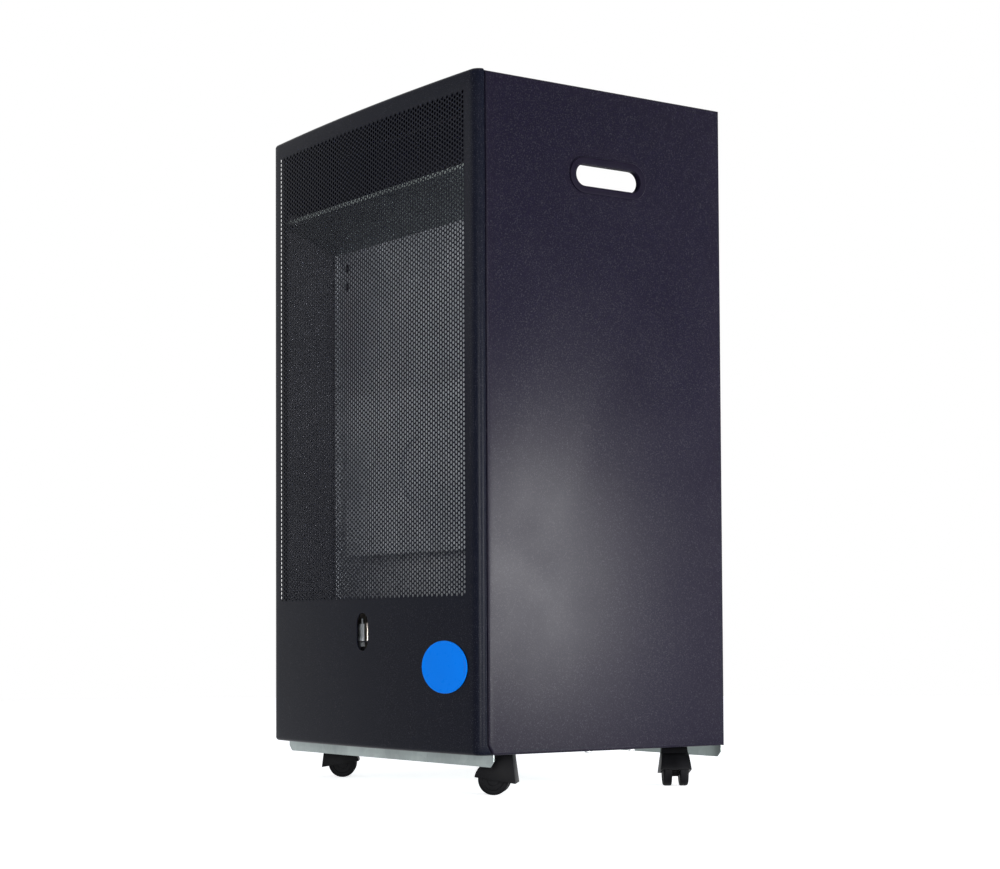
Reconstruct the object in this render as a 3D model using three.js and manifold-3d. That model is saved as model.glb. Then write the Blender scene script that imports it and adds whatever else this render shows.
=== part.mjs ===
// Portable gas cabinet heater: a steel cabinet on swivel castors with a bowed, perforated front,
// a blue-flame firebox behind it and an open bay for a gas cylinder at the back.
// Millimetres, +Z up, the front faces -Y. The origin lies on the floor, under the middle of the box.

import * as THREE from 'three';
import { mergeVertices } from 'three/addons/utils/BufferGeometryUtils.js';
import Module from 'manifold-3d';

const wasm = await Module();
wasm.setup();

// ---------------------------------------------------------------- driving dimensions: cabinet
const cabinetWidth = 427; // across the outer faces of the side panels
const sideDepth = 311; // front edge to rear edge of a side panel
const sideTop = 738; // top of the side panels above the floor
const panelBottom = 43; // lower edge of all outer panels above the floor
const sheet = 1.2; // thickness of the steel sheet
const clear = 0.3; // gap between neighbouring pieces
const foldRadius = 3; // outer radius of the side panels' folded edges
const sideLip = 12; // how far the side panels' edges are folded inwards
const chamferDepth = 6; // cut-off lower front corner of a side panel, along Y
const chamferHeight = 10; // and along Z

// front panel: a bowed pan with folded-back edges
const edgeStand = 12.5; // how far the pan stands ahead of the side panels at its ends
const frontBow = 6.5; // extra reach of the bow at mid width
const bowSteps = 12; // flats across the bow
const frontRise = 2; // the pan stands this much above the side panels
const panCornerRadius = 12; // plan radius where the front folds back into the returns
const panEdgeFillet = 4; // rounding of the top and bottom edges
const panFaceRadius = 8; // corners of the pan seen from the front
const slotWidth = 23; // window onto the pilot flame
const slotHeight = 41;
const slotCentreZ = 168;
const ventBottom = 201.5; // field of openings that lets the heat out
const ventTop = 719;
const ventMargin = 17; // from the ends of the front to the field
const ventColumns = 12;
const ventRows = 13;
const ventRadius = 11.9;
const ventSides = 8;
const badgeWidth = 78; // oval badge
const badgeHeight = 54;
const badgeThickness = 1.6;
const badgeInset = 57; // middle of the badge from the right end of the front
const badgeZ = 131.5;

// hand holes in the side panels
const handleLength = 85; // clear opening
const handleHeight = 23;
const handleRimLength = 101; // outer rim of the grommet
const handleRimHeight = 33;
const handleRimProud = 1.6; // how far the rim stands out of the panel
const handleDepth = 156; // centre of the hole behind the panel's front edge
const handleFromTop = 93; // centre of the hole below the side panels' tops
const grommetSleeve = 2.2; // wall of the sleeve inside the hole
const grommetReach = 6; // length of the sleeve behind the rim

// base tray
const trayInset = 4; // gap from the cabinet's outer faces to the tray's ends
const trayFlangeDrop = 12.5; // the flanges hang this far below the panels' lower edges
const trayFrontDepth = 8; // front flange behind the side panels' front edge
const trayCornerCut = 6;
const padLength = 290; // raised pad that the gas cylinder stands on
const padWidth = 170;
const padRise = 1;
const padFromRear = 113; // middle of the pad ahead of the rear edge

// top panel and control well
const topInset = 6; // from the outer faces of the side panels
const rearSkirt = 5; // the rear edge is folded down this far below the side panels' tops
const wellWidth = 122;
const wellLength = 66;
const wellDepth = 26;
const wellInset = 93; // middle of the well from the left outer face
const wellFromRear = 62; // centre of the well ahead of the rear edge
const wellRim = 7; // width of the rim under the top panel

// controls
const knobRadius = 20;
const knobHeight = 18.5;
const knobTravel = 4;
const knobOffsetX = 24; // knob to the right of the well's middle, button to the left
const knobGap = 5.3; // from the well's floor to the knob's skirt
const knobSkirt = 3; // height of the knob's widest part
const knobTaper = 3; // the grip is narrower than the skirt by this much at its top
const knobCover = 5; // the knob's top above the spindle's end
const pointerWidth = 3;
const pointerRise = 1.2;
const spindleRadius = 4;
const spindleRoom = 2; // gap round it in the well's floor
const valveWidth = 42;
const valveLength = 34;
const valveHeight = 36;
const valveNeck = 5; // the valve's round neck above its body
const valveOutlet = 8; // length of the outlets below the body
const unionWall = 3; // outlets and inlet are wider than their pipes by this much
const outletOffset = 8; // gas outlet right of the spindle, pilot outlet left and ahead of it
const inletLength = 6;
const inletDrop = 18; // axis of the inlet below the valve's top
const spindleSeat = 12; // the spindle reaches this far into the valve
const buttonRadius = 6.5;
const buttonTravel = 5;
const buttonHeight = 30;
const buttonSeat = 14; // the button reaches this far below the well's floor
const igniterRadius = 9;
const igniterLength = 52;
const igniterCollar = 6; // collar above the well's floor
const igniterFlange = 4; // width of the flange round the igniter
const igniterFlangeHeight = 2.5;

// firebox
const linerInset = 2.6; // gap between a side panel and the firebox side behind it
const wallDepth = 72; // heat shield behind the side panels' front edge
const wallInset = 9; // from the cabinet's outer faces to the shield's ends
const wallFromTop = 120; // upper edge of the heat shield below the side panels' tops
const wallBottom = 62;
const wallLip = 4; // forward fold at each end of the heat shield
const wallHoleDrops = [42, 19]; // two holes near the left end, below its upper edge
const wallHoleInset = 21; // from the left end of the heat shield
const wallHoleRadius = 5.5;
const bayPanelDepth = 82; // partition between firebox and cylinder bay
const bayPanelLip = 12; // its side edges are folded back this far
const linerRearLip = 14;
const deflectorFrontDepth = -5; // ahead of the side panels' front edge
const deflectorFromTop = 90; // upper edge of the deflector below the side panels' tops
const deflectorLip = 5;
const linerRise = 12; // the firebox sides stand this much above the deflector
const flamePlateInset = 60; // from the cabinet's outer faces
const flamePlateDepth = 52;
const flamePlateTop = 439.5;
const flamePlateBottom = 254.6;
const flamePlateLip = 6;
const dishRadius = 35.5;
const dishDepth = 4;

// burner and pilot
const burnerInset = 89; // from the cabinet's outer faces to the burner's ends
const burnerDepth = 26;
const burnerHeight = 24;
const burnerFrontDepth = 22; // behind the side panels' front edge
const burnerZ = 176; // underside of the burner
const burnerPorts = 12;
const portWidth = 3;
const portInset = 5; // gap from a port to the burner's long edges
const portMargin = 10; // plain length at each end of the burner
const bracketInset = 16; // brackets from the burner's ends
const bracketFoot = 14;
const mixerLength = 30;
const mixerRadius = 9;
const mixerThroat = 7;
const mixerBell = 11;
const mixerNarrow = 0.4; // shares of its length where it narrows, is narrow and widens
const mixerWaist = 0.6;
const mixerWiden = 0.75;
const injectorRadius = 4.5;
const injectorLength = 16;
const injectorGap = 3; // air gap between injector and mixing tube
const injectorNose = 4; // length of its slim tip
const injectorShoulder = 9; // from the tip to the hexagon
const injectorHex = 4; // length of the hexagon
const injectorHexWall = 2.5;
const uprightRise = 12; // the injector's upright above its axis
const pilotX = -34;
const pilotDepth = 9; // behind the side panels' front edge
const pilotZ = 158; // upper face of the pilot's shelf
const pilotSpacing = 12; // between pilot burner, electrode and thermocouple
const pilotShelfWidth = 40;
const pilotShelfDepth = 14;
const pilotRadius = 4;
const pilotHeight = 20;
const pilotHoodReach = 3; // the pilot's hood reaches this far beyond its head
const pilotHoodHeight = 2;
const electrodeRadius = 3;
const electrodeHeight = 19;
const electrodeTip = 6;
const electrodeTipRadius = 0.9;
const electrodeCollar = 1.2; // collar and its height above the shelf
const collarHeight = 4;
const pilotTail = 8; // the pilot burner and the probe reach this far below the shelf
const electrodeTail = 6;
const postWindow = 28; // height of the cut-out for the pipes in the pilot bracket
const thermocoupleRadius = 1.6;
const thermocoupleHeight = 24;
const thermocoupleNut = 2; // wall and height of the nut
const nutHeight = 5;

// pipes and leads
const gasPipeRadius = 4;
const pilotPipeRadius = 2;
const leadRadius = 1.6;
const pipeBend = 12; // radius of the bends
const gasRiseInset = 27; // the gas pipe rises this far inside the right outer face
const pilotRiseInset = 51; // and the pilot pipe inside the left one
const leadRiseOffset = 30; // the lead rises this far right of the igniter
const crossHeight = 10; // the pipes cross this far above the tray's floor
const leadDrop = 5; // the lead crosses below them
const riseGap = 9; // from the partition's face to the pipes' axes
const leadGap = 8; // from the pipes' axes to the lead's
const gasTurn = 34; // the pipes turn this far below the valve
const pilotTurn = 60;
const leadTurn = 30; // and the lead below the igniter
const pipeSides = 8;
const bendSteps = 3; // straight pieces in a bend
const hexSides = 6;
const boreSides = 12; // flats on small holes
const smallSides = 16; // flats on small round pieces
const wideSides = 32; // flats on wide ones
const nozzleRadius = 4.5;
const nozzleLength = 30;
const nozzleFlange = 6; // length of its hexagon
const nozzleFlangeWall = 2.5;
const nozzleNeck = 2; // plain length before the barbs
const nozzleBarbs = 3;
const nozzleBarb = 1.2; // depth of the barbs

// rear flap
const flapTop = 352;
const flapInset = 16; // from the tray's ends to the flap's
const flapEdge = 9; // depth of the flap's folded edges
const hingeRodRadius = 2;
const hingeTubeRadius = 3.5;
const hingeZ = 52;
const hingeFromRear = 6;
const earWidth = 11;
const earSetback = 2; // the ears stay this far ahead of the panels' rear edges
const pinReach = 3; // the hinge pins stand out of the ears
const flapFoldStart = 12; // the side folds begin this far above the hinge
const gripLength = 90; // finger hole in the flap
const gripHeight = 22;
const gripFromTop = 34;

// castors
const castorInsetX = 37; // from the outer face of the side panel
const castorInsetFront = 47; // from the front edge of the side panel
const castorInsetRear = 41; // from its rear edge
const wheelRadius = 16;
const wheelWidth = 9.6;
const wheelGap = 8.4; // between the two wheels of a castor
const trail = 12; // the axle follows the swivel axis at this distance
const axleRadius = 2.5;
const axleInset = 1.2; // from the wheels' outer faces to the axle's ends
const bossWall = 3.5; // round the axle in the hood
const stemRadius = 4;
const stemLength = 13; // of the part inside the hood
const plateSize = 36;
const plateThickness = 1.8;
const hoodRadius = 19.2;
const hoodHalfWidth = 17.5;
const hoodTopHalfWidth = 13.5;
const hoodWell = 17; // radius of the space for the wheels
const webHalf = 3.7;
const skirtInner = 14.2;
const bossFront = 8; // the boss reaches this far ahead of the swivel axis
const bossRear = 7;
const skirtFrontReach = 11.5;
const skirtFrontZ = 12;
const skirtRearAngle = 8; // degrees above the axle where the hood ends at the back
const hoodTopAngle = 97; // and where its round back begins, above the axle
const wheelFillet = 2.5; // rounding of the tread towards the outer face
const wheelDish = 0.8; // the outer face is dished by this much
const wheelInnerEdge = 1.5;

// screws
const screwHead = 4;
const screwHeadHeight = 2.4;
const screwShank = 1.6;
const screwHeadEdge = 1.2; // height of the head's straight edge
const screwHeadRound = 1.4;
const sideScrewLength = 5;
const deflectorScrewLength = 7;
const deflectorScrewDepth = 1; // behind the side panels' front edge
const sideScrewDepths = [131, 188]; // behind the side panels' front edge
const sideScrewInset = 8;
const deflectorScrewInset = 66; // from the cabinet's outer faces

// ---------------------------------------------------------------- derived places
const halfWidth = cabinetWidth / 2;
const overallDepth = sideDepth + edgeStand + frontBow;
const rearY = overallDepth / 2;
const seamY = rearY - sideDepth;
const frontTop = sideTop + frontRise;
const innerX = halfWidth - sheet;
const handleZ = sideTop - handleFromTop;
const wallTop = sideTop - wallFromTop;
const deflectorFrontZ = sideTop - deflectorFromTop;
const trayUnderside = panelBottom + sheet + clear;
const trayFloor = trayUnderside + sheet;
const behind = (depth) => seamY + depth;
const linerX = innerX - linerInset; // outer face of the firebox side
const margin = 1; // by which a cutting tool reaches past what it cuts

// ---------------------------------------------------------------- geometry helpers
/** Turns a closed geometry into a solid that can be cut and joined. */
function solid(geometry) {
  const bare = new THREE.BufferGeometry();
  const flat = geometry.index ? geometry.toNonIndexed() : geometry;
  bare.setAttribute('position', flat.getAttribute('position'));
  const merged = mergeVertices(bare, 1e-4);
  return new wasm.Manifold(new wasm.Mesh({
    numProp: 3,
    vertProperties: new Float32Array(merged.getAttribute('position').array),
    triVerts: new Uint32Array(merged.index.array),
  }));
}

/** Axis-aligned block from its lowest and highest corners. */
function block(x0, x1, y0, y1, z0, z1) {
  const geometry = new THREE.BoxGeometry(x1 - x0, y1 - y0, z1 - z0);
  geometry.translate((x0 + x1) / 2, (y0 + y1) / 2, (z0 + z1) / 2);
  return solid(geometry);
}

/** Block that is mirrored to the left side when side is -1. */
function sideBlock(side, x0, x1, y0, y1, z0, z1) {
  const left = Math.min(side * x0, side * x1);
  const right = Math.max(side * x0, side * x1);
  return block(left, right, y0, y1, z0, z1);
}

/** Outline as straight pieces, without points that fall together where arcs meet lines. */
function polygon(shape, arcPieces) {
  const points = [];
  for (const point of shape.getPoints(arcPieces)) {
    if (points.length === 0 || point.distanceTo(points[points.length - 1]) > 1e-3) {
      points.push(point);
    }
  }
  if (points[0].distanceTo(points[points.length - 1]) < 1e-3) {
    points.pop();
  }
  return new THREE.Shape(points);
}

/** Extrudes an outline given in the plane of u and v, starting at origin, along u x v. */
function prism(shape, length, u, v, origin, { arcPieces = 8, ...bevel } = {}) {
  const geometry = new THREE.ExtrudeGeometry(polygon(shape, arcPieces), {
    depth: length,
    bevelEnabled: false,
    ...bevel,
  });
  const w = new THREE.Vector3().crossVectors(u, v);
  const frame = new THREE.Matrix4().makeBasis(u, v, w);
  frame.setPosition(origin);
  geometry.applyMatrix4(frame);
  return solid(geometry);
}

const X = new THREE.Vector3(1, 0, 0);
const Y = new THREE.Vector3(0, 1, 0);
const Z = new THREE.Vector3(0, 0, 1);
const at = (x, y, z) => new THREE.Vector3(x, y, z);

/** Round bar between two points. */
function rod(radius, from, to, sides = 20) {
  const axis = new THREE.Vector3().subVectors(to, from);
  const geometry = new THREE.CylinderGeometry(radius, radius, axis.length(), sides);
  const turn = new THREE.Quaternion().setFromUnitVectors(Y, axis.clone().normalize());
  geometry.applyQuaternion(turn);
  geometry.translate((from.x + to.x) / 2, (from.y + to.y) / 2, (from.z + to.z) / 2);
  return solid(geometry);
}

/** Turned piece: profile of [radius, height] points, turned about the line from a point. */
function turned(profile, from, direction, sides = 24) {
  const points = profile.map(([radius, height]) => new THREE.Vector2(radius, height));
  const geometry = new THREE.LatheGeometry(points, sides);
  const turn = new THREE.Quaternion().setFromUnitVectors(Y, direction.clone().normalize());
  geometry.applyQuaternion(turn);
  geometry.translate(from.x, from.y, from.z);
  return outward(solid(geometry), geometry);
}

/** A turned profile may run either way round; the solid must have a positive volume. */
function outward(candidate, geometry) {
  if (candidate.volume() > 0) {
    return candidate;
  }
  const flat = geometry.index ? geometry.toNonIndexed() : geometry.clone();
  const position = flat.getAttribute('position');
  const flipped = new Float32Array(position.array.length);
  for (let i = 0; i < position.count; i += 3) {
    for (let corner = 0; corner < 3; corner += 1) {
      const from = i + 2 - corner;
      const to = (i + corner) * 3;
      flipped[to] = position.getX(from);
      flipped[to + 1] = position.getY(from);
      flipped[to + 2] = position.getZ(from);
    }
  }
  const reversed = new THREE.BufferGeometry();
  reversed.setAttribute('position', new THREE.BufferAttribute(flipped, 3));
  return solid(reversed);
}

/** Outline with straight sides and round ends, longer along the first axis. */
function stadium(length, height) {
  const radius = height / 2;
  const reach = length / 2 - radius;
  const shape = new THREE.Shape();
  shape.moveTo(-reach, -radius);
  shape.lineTo(reach, -radius);
  shape.absarc(reach, 0, radius, -Math.PI / 2, Math.PI / 2, false);
  shape.lineTo(-reach, radius);
  shape.absarc(-reach, 0, radius, Math.PI / 2, 3 * Math.PI / 2, false);
  return shape;
}

/** Outline through a list of [a, b] corners. */
function outline(corners) {
  return new THREE.Shape(corners.map(([a, b]) => new THREE.Vector2(a, b)));
}

/** Path along a list of corners: a straight run takes one step, a rounded corner a few. */
class BentPath extends THREE.Curve {
  constructor(corners, bend) {
    super();
    this.stretches = [];
    let start = corners[0];
    for (let i = 1; i < corners.length - 1; i += 1) {
      const corner = corners[i];
      const enter = corner.clone().add(corners[i - 1].clone().sub(corner).setLength(bend));
      const leave = corner.clone().add(corners[i + 1].clone().sub(corner).setLength(bend));
      const turn = new THREE.QuadraticBezierCurve3(enter, corner, leave);
      this.stretches.push({ curve: new THREE.LineCurve3(start, enter), first: 0, last: 1 });
      for (let step = 0; step < bendSteps; step += 1) {
        this.stretches.push({ curve: turn, first: step / bendSteps, last: (step + 1) / bendSteps });
      }
      start = leave;
    }
    this.stretches.push({ curve: new THREE.LineCurve3(start, corners.at(-1)), first: 0, last: 1 });
  }

  getPoint(t) {
    const place = t * this.stretches.length;
    const index = Math.min(Math.floor(place), this.stretches.length - 1);
    const { curve, first, last } = this.stretches[index];
    return curve.getPoint(first + (place - index) * (last - first));
  }

  getPointAt(t) {
    return this.getPoint(t);
  }

  getTangentAt(t) {
    return this.getTangent(t);
  }
}

/** Solid pipe or lead along a list of corners. */
function pipe(radius, corners) {
  const ring = [];
  for (let i = 0; i < pipeSides; i += 1) {
    const angle = (i / pipeSides) * 2 * Math.PI;
    ring.push(new THREE.Vector2(radius * Math.cos(angle), radius * Math.sin(angle)));
  }
  const extrudePath = new BentPath(corners, pipeBend);
  const steps = extrudePath.stretches.length;
  return solid(new THREE.ExtrudeGeometry(new THREE.Shape(ring), { steps, extrudePath }));
}

/** Joins a list of solids. */
function join(solids) {
  return solids.reduce((whole, next) => whole.add(next));
}

/** Cuts a list of solids out of the first. */
function cut(body, tools) {
  return tools.reduce((rest, tool) => rest.subtract(tool), body);
}

const heater = new THREE.Group();

/** Adds a finished piece to the heater as a named mesh. */
function add(name, body, finish, parent = heater) {
  const mesh = body.getMesh();
  const geometry = new THREE.BufferGeometry();
  geometry.setAttribute('position', new THREE.BufferAttribute(mesh.vertProperties, 3));
  geometry.setIndex(new THREE.BufferAttribute(mesh.triVerts, 1));
  geometry.computeVertexNormals();
  const piece = new THREE.Mesh(geometry, new THREE.MeshStandardMaterial(finish));
  piece.name = name;
  parent.add(piece);
}

// ---------------------------------------------------------------- finishes
const powderCoat = { color: 0x2c2a33, roughness: 0.55, metalness: 0.3 };
const frontCoat = { color: 0x35343c, roughness: 0.5, metalness: 0.3 };
const galvanised = { color: 0x9aa3a3, roughness: 0.45, metalness: 0.8 };
const darkSteel = { color: 0x55555a, roughness: 0.5, metalness: 0.7 };
const stainless = { color: 0xb4b6b8, roughness: 0.3, metalness: 0.95 };
const brass = { color: 0xb59a4c, roughness: 0.35, metalness: 0.9 };
const copper = { color: 0xb06a45, roughness: 0.35, metalness: 0.9 };
const blackPlastic = { color: 0x111113, roughness: 0.6, metalness: 0 };
const ceramic = { color: 0xe8eef2, roughness: 0.3, metalness: 0 };
const badgeBlue = { color: 0x0a84ff, roughness: 0.35, metalness: 0 };
const zincScrew = { color: 0xb8bcbf, roughness: 0.35, metalness: 0.9 };

// ---------------------------------------------------------------- side panels
/** Filled plan of a side panel between its inner lip edge and its outer face. */
function sidePlan(side, inward) {
  const shape = new THREE.Shape();
  shape.moveTo(halfWidth - inward, seamY);
  shape.lineTo(halfWidth - foldRadius, seamY);
  shape.absarc(halfWidth - foldRadius, seamY + foldRadius, foldRadius, -Math.PI / 2, 0, false);
  shape.lineTo(halfWidth, rearY - foldRadius);
  shape.absarc(halfWidth - foldRadius, rearY - foldRadius, foldRadius, 0, Math.PI / 2, false);
  shape.lineTo(halfWidth - inward, rearY);
  const points = shape.getPoints(4).map((point) => new THREE.Vector2(side * point.x, point.y));
  return new THREE.Shape(points);
}

function sidePanel(side) {
  const height = sideTop - panelBottom;
  const filled = prism(sidePlan(side, sideLip), height, X, Y, at(0, 0, panelBottom));
  const hollow = sideBlock(side, 0, innerX, seamY + sheet, rearY - sheet,
    panelBottom + sheet, sideTop - sheet);
  const bottomFront = sideBlock(side, 0, innerX, seamY + sheet, behind(trayFrontDepth + 4 * sheet),
    panelBottom - margin, panelBottom + 2 * sheet);
  const bottomRear = sideBlock(side, 0, innerX, rearY - 4 * sheet, rearY - sheet,
    panelBottom - margin, panelBottom + 2 * sheet);
  const chamfer = prism(outline([
    [seamY - margin, panelBottom - margin],
    [seamY + chamferDepth, panelBottom - margin],
    [seamY + chamferDepth, panelBottom],
    [seamY, panelBottom + chamferHeight],
    [seamY - margin, panelBottom + chamferHeight],
  ]), cabinetWidth + 2 * margin, Y, Z, at(-halfWidth - margin, 0, 0));
  const hole = prism(stadium(handleLength + 2 * (grommetSleeve + clear),
    handleHeight + 2 * (grommetSleeve + clear)), 3 * foldRadius, Y, Z,
  at(side > 0 ? halfWidth - 2 * foldRadius : -halfWidth - foldRadius, behind(handleDepth), handleZ));
  const screwHoles = sideScrewDepths.map((depth) => rod(screwShank + clear,
    at(side * (halfWidth - sideScrewInset), behind(depth), panelBottom - margin),
    at(side * (halfWidth - sideScrewInset), behind(depth), panelBottom + 2 * sheet), boreSides));
  return cut(filled, [hollow, bottomFront, bottomRear, chamfer, hole, ...screwHoles]);
}

add('side_panel_left', sidePanel(-1), powderCoat);
add('side_panel_right', sidePanel(1), powderCoat);

// ---------------------------------------------------------------- hand hole grommets
function grommet(side) {
  const centre = (x) => at(x, behind(handleDepth), handleZ);
  const rimStart = side > 0 ? halfWidth + clear : -halfWidth - clear - handleRimProud;
  const rim = prism(stadium(handleRimLength, handleRimHeight), handleRimProud, Y, Z, centre(rimStart));
  const sleeveStart = side > 0 ? halfWidth - grommetReach : -halfWidth - clear - handleRimProud;
  const sleeveLength = grommetReach + clear + handleRimProud;
  const sleeve = prism(stadium(handleLength + 2 * grommetSleeve, handleHeight + 2 * grommetSleeve),
    sleeveLength, Y, Z, centre(sleeveStart));
  const opening = prism(stadium(handleLength, handleHeight), sleeveLength + 2 * margin, Y, Z,
    centre(sleeveStart - margin));
  return cut(join([rim, sleeve]), [opening]);
}

add('handle_grommet_left', grommet(-1), blackPlastic);
add('handle_grommet_right', grommet(1), blackPlastic);

// ---------------------------------------------------------------- bowed front panel
const panCornerX = halfWidth - panCornerRadius;
const panCornerY = seamY - edgeStand + panCornerRadius;
const bowReach = frontBow + panCornerRadius; // corner centre to the crest
const bowRadius = (bowReach ** 2 - panCornerRadius ** 2 + panCornerX ** 2)
  / (2 * (bowReach - panCornerRadius));
const bowCentreY = panCornerY - bowReach + bowRadius;
const bowAngle = Math.atan2(panCornerY - bowCentreY, panCornerX);

/** Plan of the pan, set in by a distance from its outer face, running back behind the seam. */
function panPlan(inset) {
  const back = seamY + 4 * chamferDepth;
  const side = halfWidth - inset;
  const corner = panCornerRadius - inset;
  const shape = new THREE.Shape();
  shape.moveTo(side, back);
  shape.lineTo(side, panCornerY);
  shape.absarc(panCornerX, panCornerY, corner, 0, bowAngle, true);
  for (let i = 1; i <= bowSteps; i += 1) {
    const angle = bowAngle + (i / bowSteps) * (-Math.PI - 2 * bowAngle);
    const reach = bowRadius - inset;
    shape.lineTo(reach * Math.cos(angle), bowCentreY + reach * Math.sin(angle));
  }
  shape.absarc(-panCornerX, panCornerY, corner, -Math.PI - bowAngle, -Math.PI, true);
  shape.lineTo(-side, back);
  return shape;
}

/** Solid of the pan's outer form, or of its hollow when it is set in by the sheet. */
function panForm(inset) {
  const fillet = panEdgeFillet - inset;
  const bottom = panelBottom + inset;
  const height = frontTop - inset - bottom;
  const bowed = prism(panPlan(inset), height - 2 * fillet, X, Y, at(0, 0, bottom + fillet), {
    bevelEnabled: true,
    bevelThickness: fillet,
    bevelSize: fillet,
    bevelOffset: -fillet,
    bevelSegments: 3,
    arcPieces: 4,
  });
  const side = halfWidth - inset;
  const radius = panFaceRadius - inset;
  const face = new THREE.Shape();
  face.moveTo(-side + radius, bottom);
  face.lineTo(side - radius, bottom);
  face.absarc(side - radius, bottom + radius, radius, -Math.PI / 2, 0, false);
  face.lineTo(side, frontTop - inset - radius);
  face.absarc(side - radius, frontTop - inset - radius, radius, 0, Math.PI / 2, false);
  face.lineTo(-side + radius, frontTop - inset);
  face.absarc(-side + radius, frontTop - inset - radius, radius, Math.PI / 2, Math.PI, false);
  face.lineTo(-side, bottom + radius);
  face.absarc(-side + radius, bottom + radius, radius, Math.PI, 3 * Math.PI / 2, false);
  const through = prism(face, 2 * overallDepth, X, Z, at(0, overallDepth, 0), { arcPieces: 5 });
  return bowed.intersect(through);
}

/** Depth of the front face at a distance from mid width. */
const frontFaceY = (x) => bowCentreY - Math.sqrt(bowRadius ** 2 - x ** 2);

/** Openings of the field in upright columns, every second one set half a pitch higher. */
function ventOpenings() {
  const columnPitch = 2 * (halfWidth - ventMargin) / ventColumns;
  const rowPitch = (ventTop - ventBottom) / (ventRows + 0.5);
  const openings = [];
  for (let column = 0; column < ventColumns; column += 1) {
    const x = ventMargin - halfWidth + (column + 0.5) * columnPitch;
    const y = frontFaceY(x);
    for (let row = 0; row < ventRows; row += 1) {
      const z = ventBottom + (row + 0.5 + 0.5 * (column % 2)) * rowPitch;
      openings.push(rod(ventRadius, at(x, y - edgeStand, z), at(x, y + edgeStand, z), ventSides));
    }
  }
  return openings;
}

function frontPanel() {
  const seam = seamY - clear;
  const behindSeam = prism(outline([
    [seam, frontTop + margin],
    [seam, panelBottom + chamferHeight],
    [seam + chamferDepth, panelBottom],
    [seam + chamferDepth, panelBottom - margin],
    [rearY, panelBottom - margin],
    [rearY, frontTop + margin],
  ]), cabinetWidth + 2 * margin, Y, Z, at(-halfWidth - margin, 0, 0));
  const slot = prism(stadium(slotHeight, slotWidth), edgeStand + frontBow, Z, X,
    at(0, frontFaceY(0) - margin, slotCentreZ));
  return cut(panForm(0), [panForm(sheet), behindSeam, slot, ...ventOpenings()]);
}

add('front_panel', frontPanel(), frontCoat);

// ---------------------------------------------------------------- badge, lying against the bow
const badgeX = halfWidth - badgeInset;

function badge() {
  const tilt = Math.asin(badgeX / bowRadius);
  const normal = at(Math.sin(tilt), -Math.cos(tilt), 0);
  const across = at(Math.cos(tilt), Math.sin(tilt), 0);
  const face = at(bowRadius * Math.sin(tilt), bowCentreY - bowRadius * Math.cos(tilt), badgeZ);
  const oval = new THREE.Shape();
  oval.absellipse(0, 0, badgeWidth / 2, badgeHeight / 2, 0, 2 * Math.PI, false, 0);
  const start = face.addScaledVector(normal, clear);
  return prism(oval, badgeThickness, across, Z, start, { arcPieces: 20 });
}

add('badge', badge(), badgeBlue);

// ---------------------------------------------------------------- base tray
const trayHalf = halfWidth - trayInset;
const flapHalf = trayHalf - flapInset;
const trayFlangeBottom = panelBottom - trayFlangeDrop;
const castorX = halfWidth - castorInsetX;
const castorFrontY = seamY + castorInsetFront;
const castorRearY = rearY - castorInsetRear;

/** Hanging flange of the tray, its lower corners cut off. */
function trayFlange(y) {
  return prism(outline([
    [-trayHalf + trayCornerCut, trayFlangeBottom],
    [trayHalf - trayCornerCut, trayFlangeBottom],
    [trayHalf, trayFlangeBottom + trayCornerCut],
    [trayHalf, trayFloor],
    [-trayHalf, trayFloor],
    [-trayHalf, trayFlangeBottom + trayCornerCut],
  ]), sheet, X, Z, at(0, y + sheet, 0));
}

function baseTray() {
  const front = behind(trayFrontDepth);
  const rear = rearY - sheet - clear;
  const floor = block(-trayHalf, trayHalf, front, rear, trayUnderside, trayFloor);
  const ears = [-1, 1].map((side) => {
    const inner = flapHalf + clear;
    const top = hingeZ + earWidth / 2;
    const middle = rearY - hingeFromRear;
    const ear = sideBlock(side, inner, inner + sheet, middle - earWidth / 2,
      middle + earWidth / 2 - earSetback, trayUnderside, top);
    return ear.subtract(rod(hingeRodRadius + clear, at(side * (inner - margin), middle, hingeZ),
      at(side * (inner + sheet + margin), middle, hingeZ), boreSides));
  });
  const screwHoles = [-1, 1].flatMap((side) => sideScrewDepths.map((depth) => rod(
    screwShank + clear,
    at(side * (halfWidth - sideScrewInset), behind(depth), trayUnderside - margin),
    at(side * (halfWidth - sideScrewInset), behind(depth), trayFloor + margin), boreSides)));
  const padY = rearY - padFromRear;
  const pad = block(-padLength / 2, padLength / 2, padY - padWidth / 2, padY + padWidth / 2,
    trayUnderside, trayFloor + padRise);
  const under = block(sheet - padLength / 2, padLength / 2 - sheet, padY - padWidth / 2 + sheet,
    padY + padWidth / 2 - sheet, trayUnderside - margin, trayUnderside + padRise);
  return cut(join([floor, pad, trayFlange(front), trayFlange(rear - sheet), ...ears]),
    [under, ...screwHoles]);
}

add('base_tray', baseTray(), galvanised);

// ---------------------------------------------------------------- top panel and control well
const topUnderside = sideTop + clear;
const wellX = wellInset - halfWidth;
const wellY = rearY - wellFromRear;
const wellFloor = sideTop - wellDepth; // upper face of the well's floor

function topPanel() {
  const half = halfWidth - topInset;
  const plate = block(-half, half, behind(clear), rearY, topUnderside, topUnderside + sheet);
  const skirtHalf = halfWidth - sideLip - clear;
  const skirt = block(-skirtHalf, skirtHalf, rearY - sheet, rearY, sideTop - rearSkirt,
    topUnderside + sheet);
  const opening = block(wellX - wellWidth / 2, wellX + wellWidth / 2, wellY - wellLength / 2,
    wellY + wellLength / 2, topUnderside - margin, topUnderside + 2 * sheet);
  return cut(join([plate, skirt]), [opening]);
}

const knobX = wellX + knobOffsetX;
const buttonX = wellX - knobOffsetX;

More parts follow.
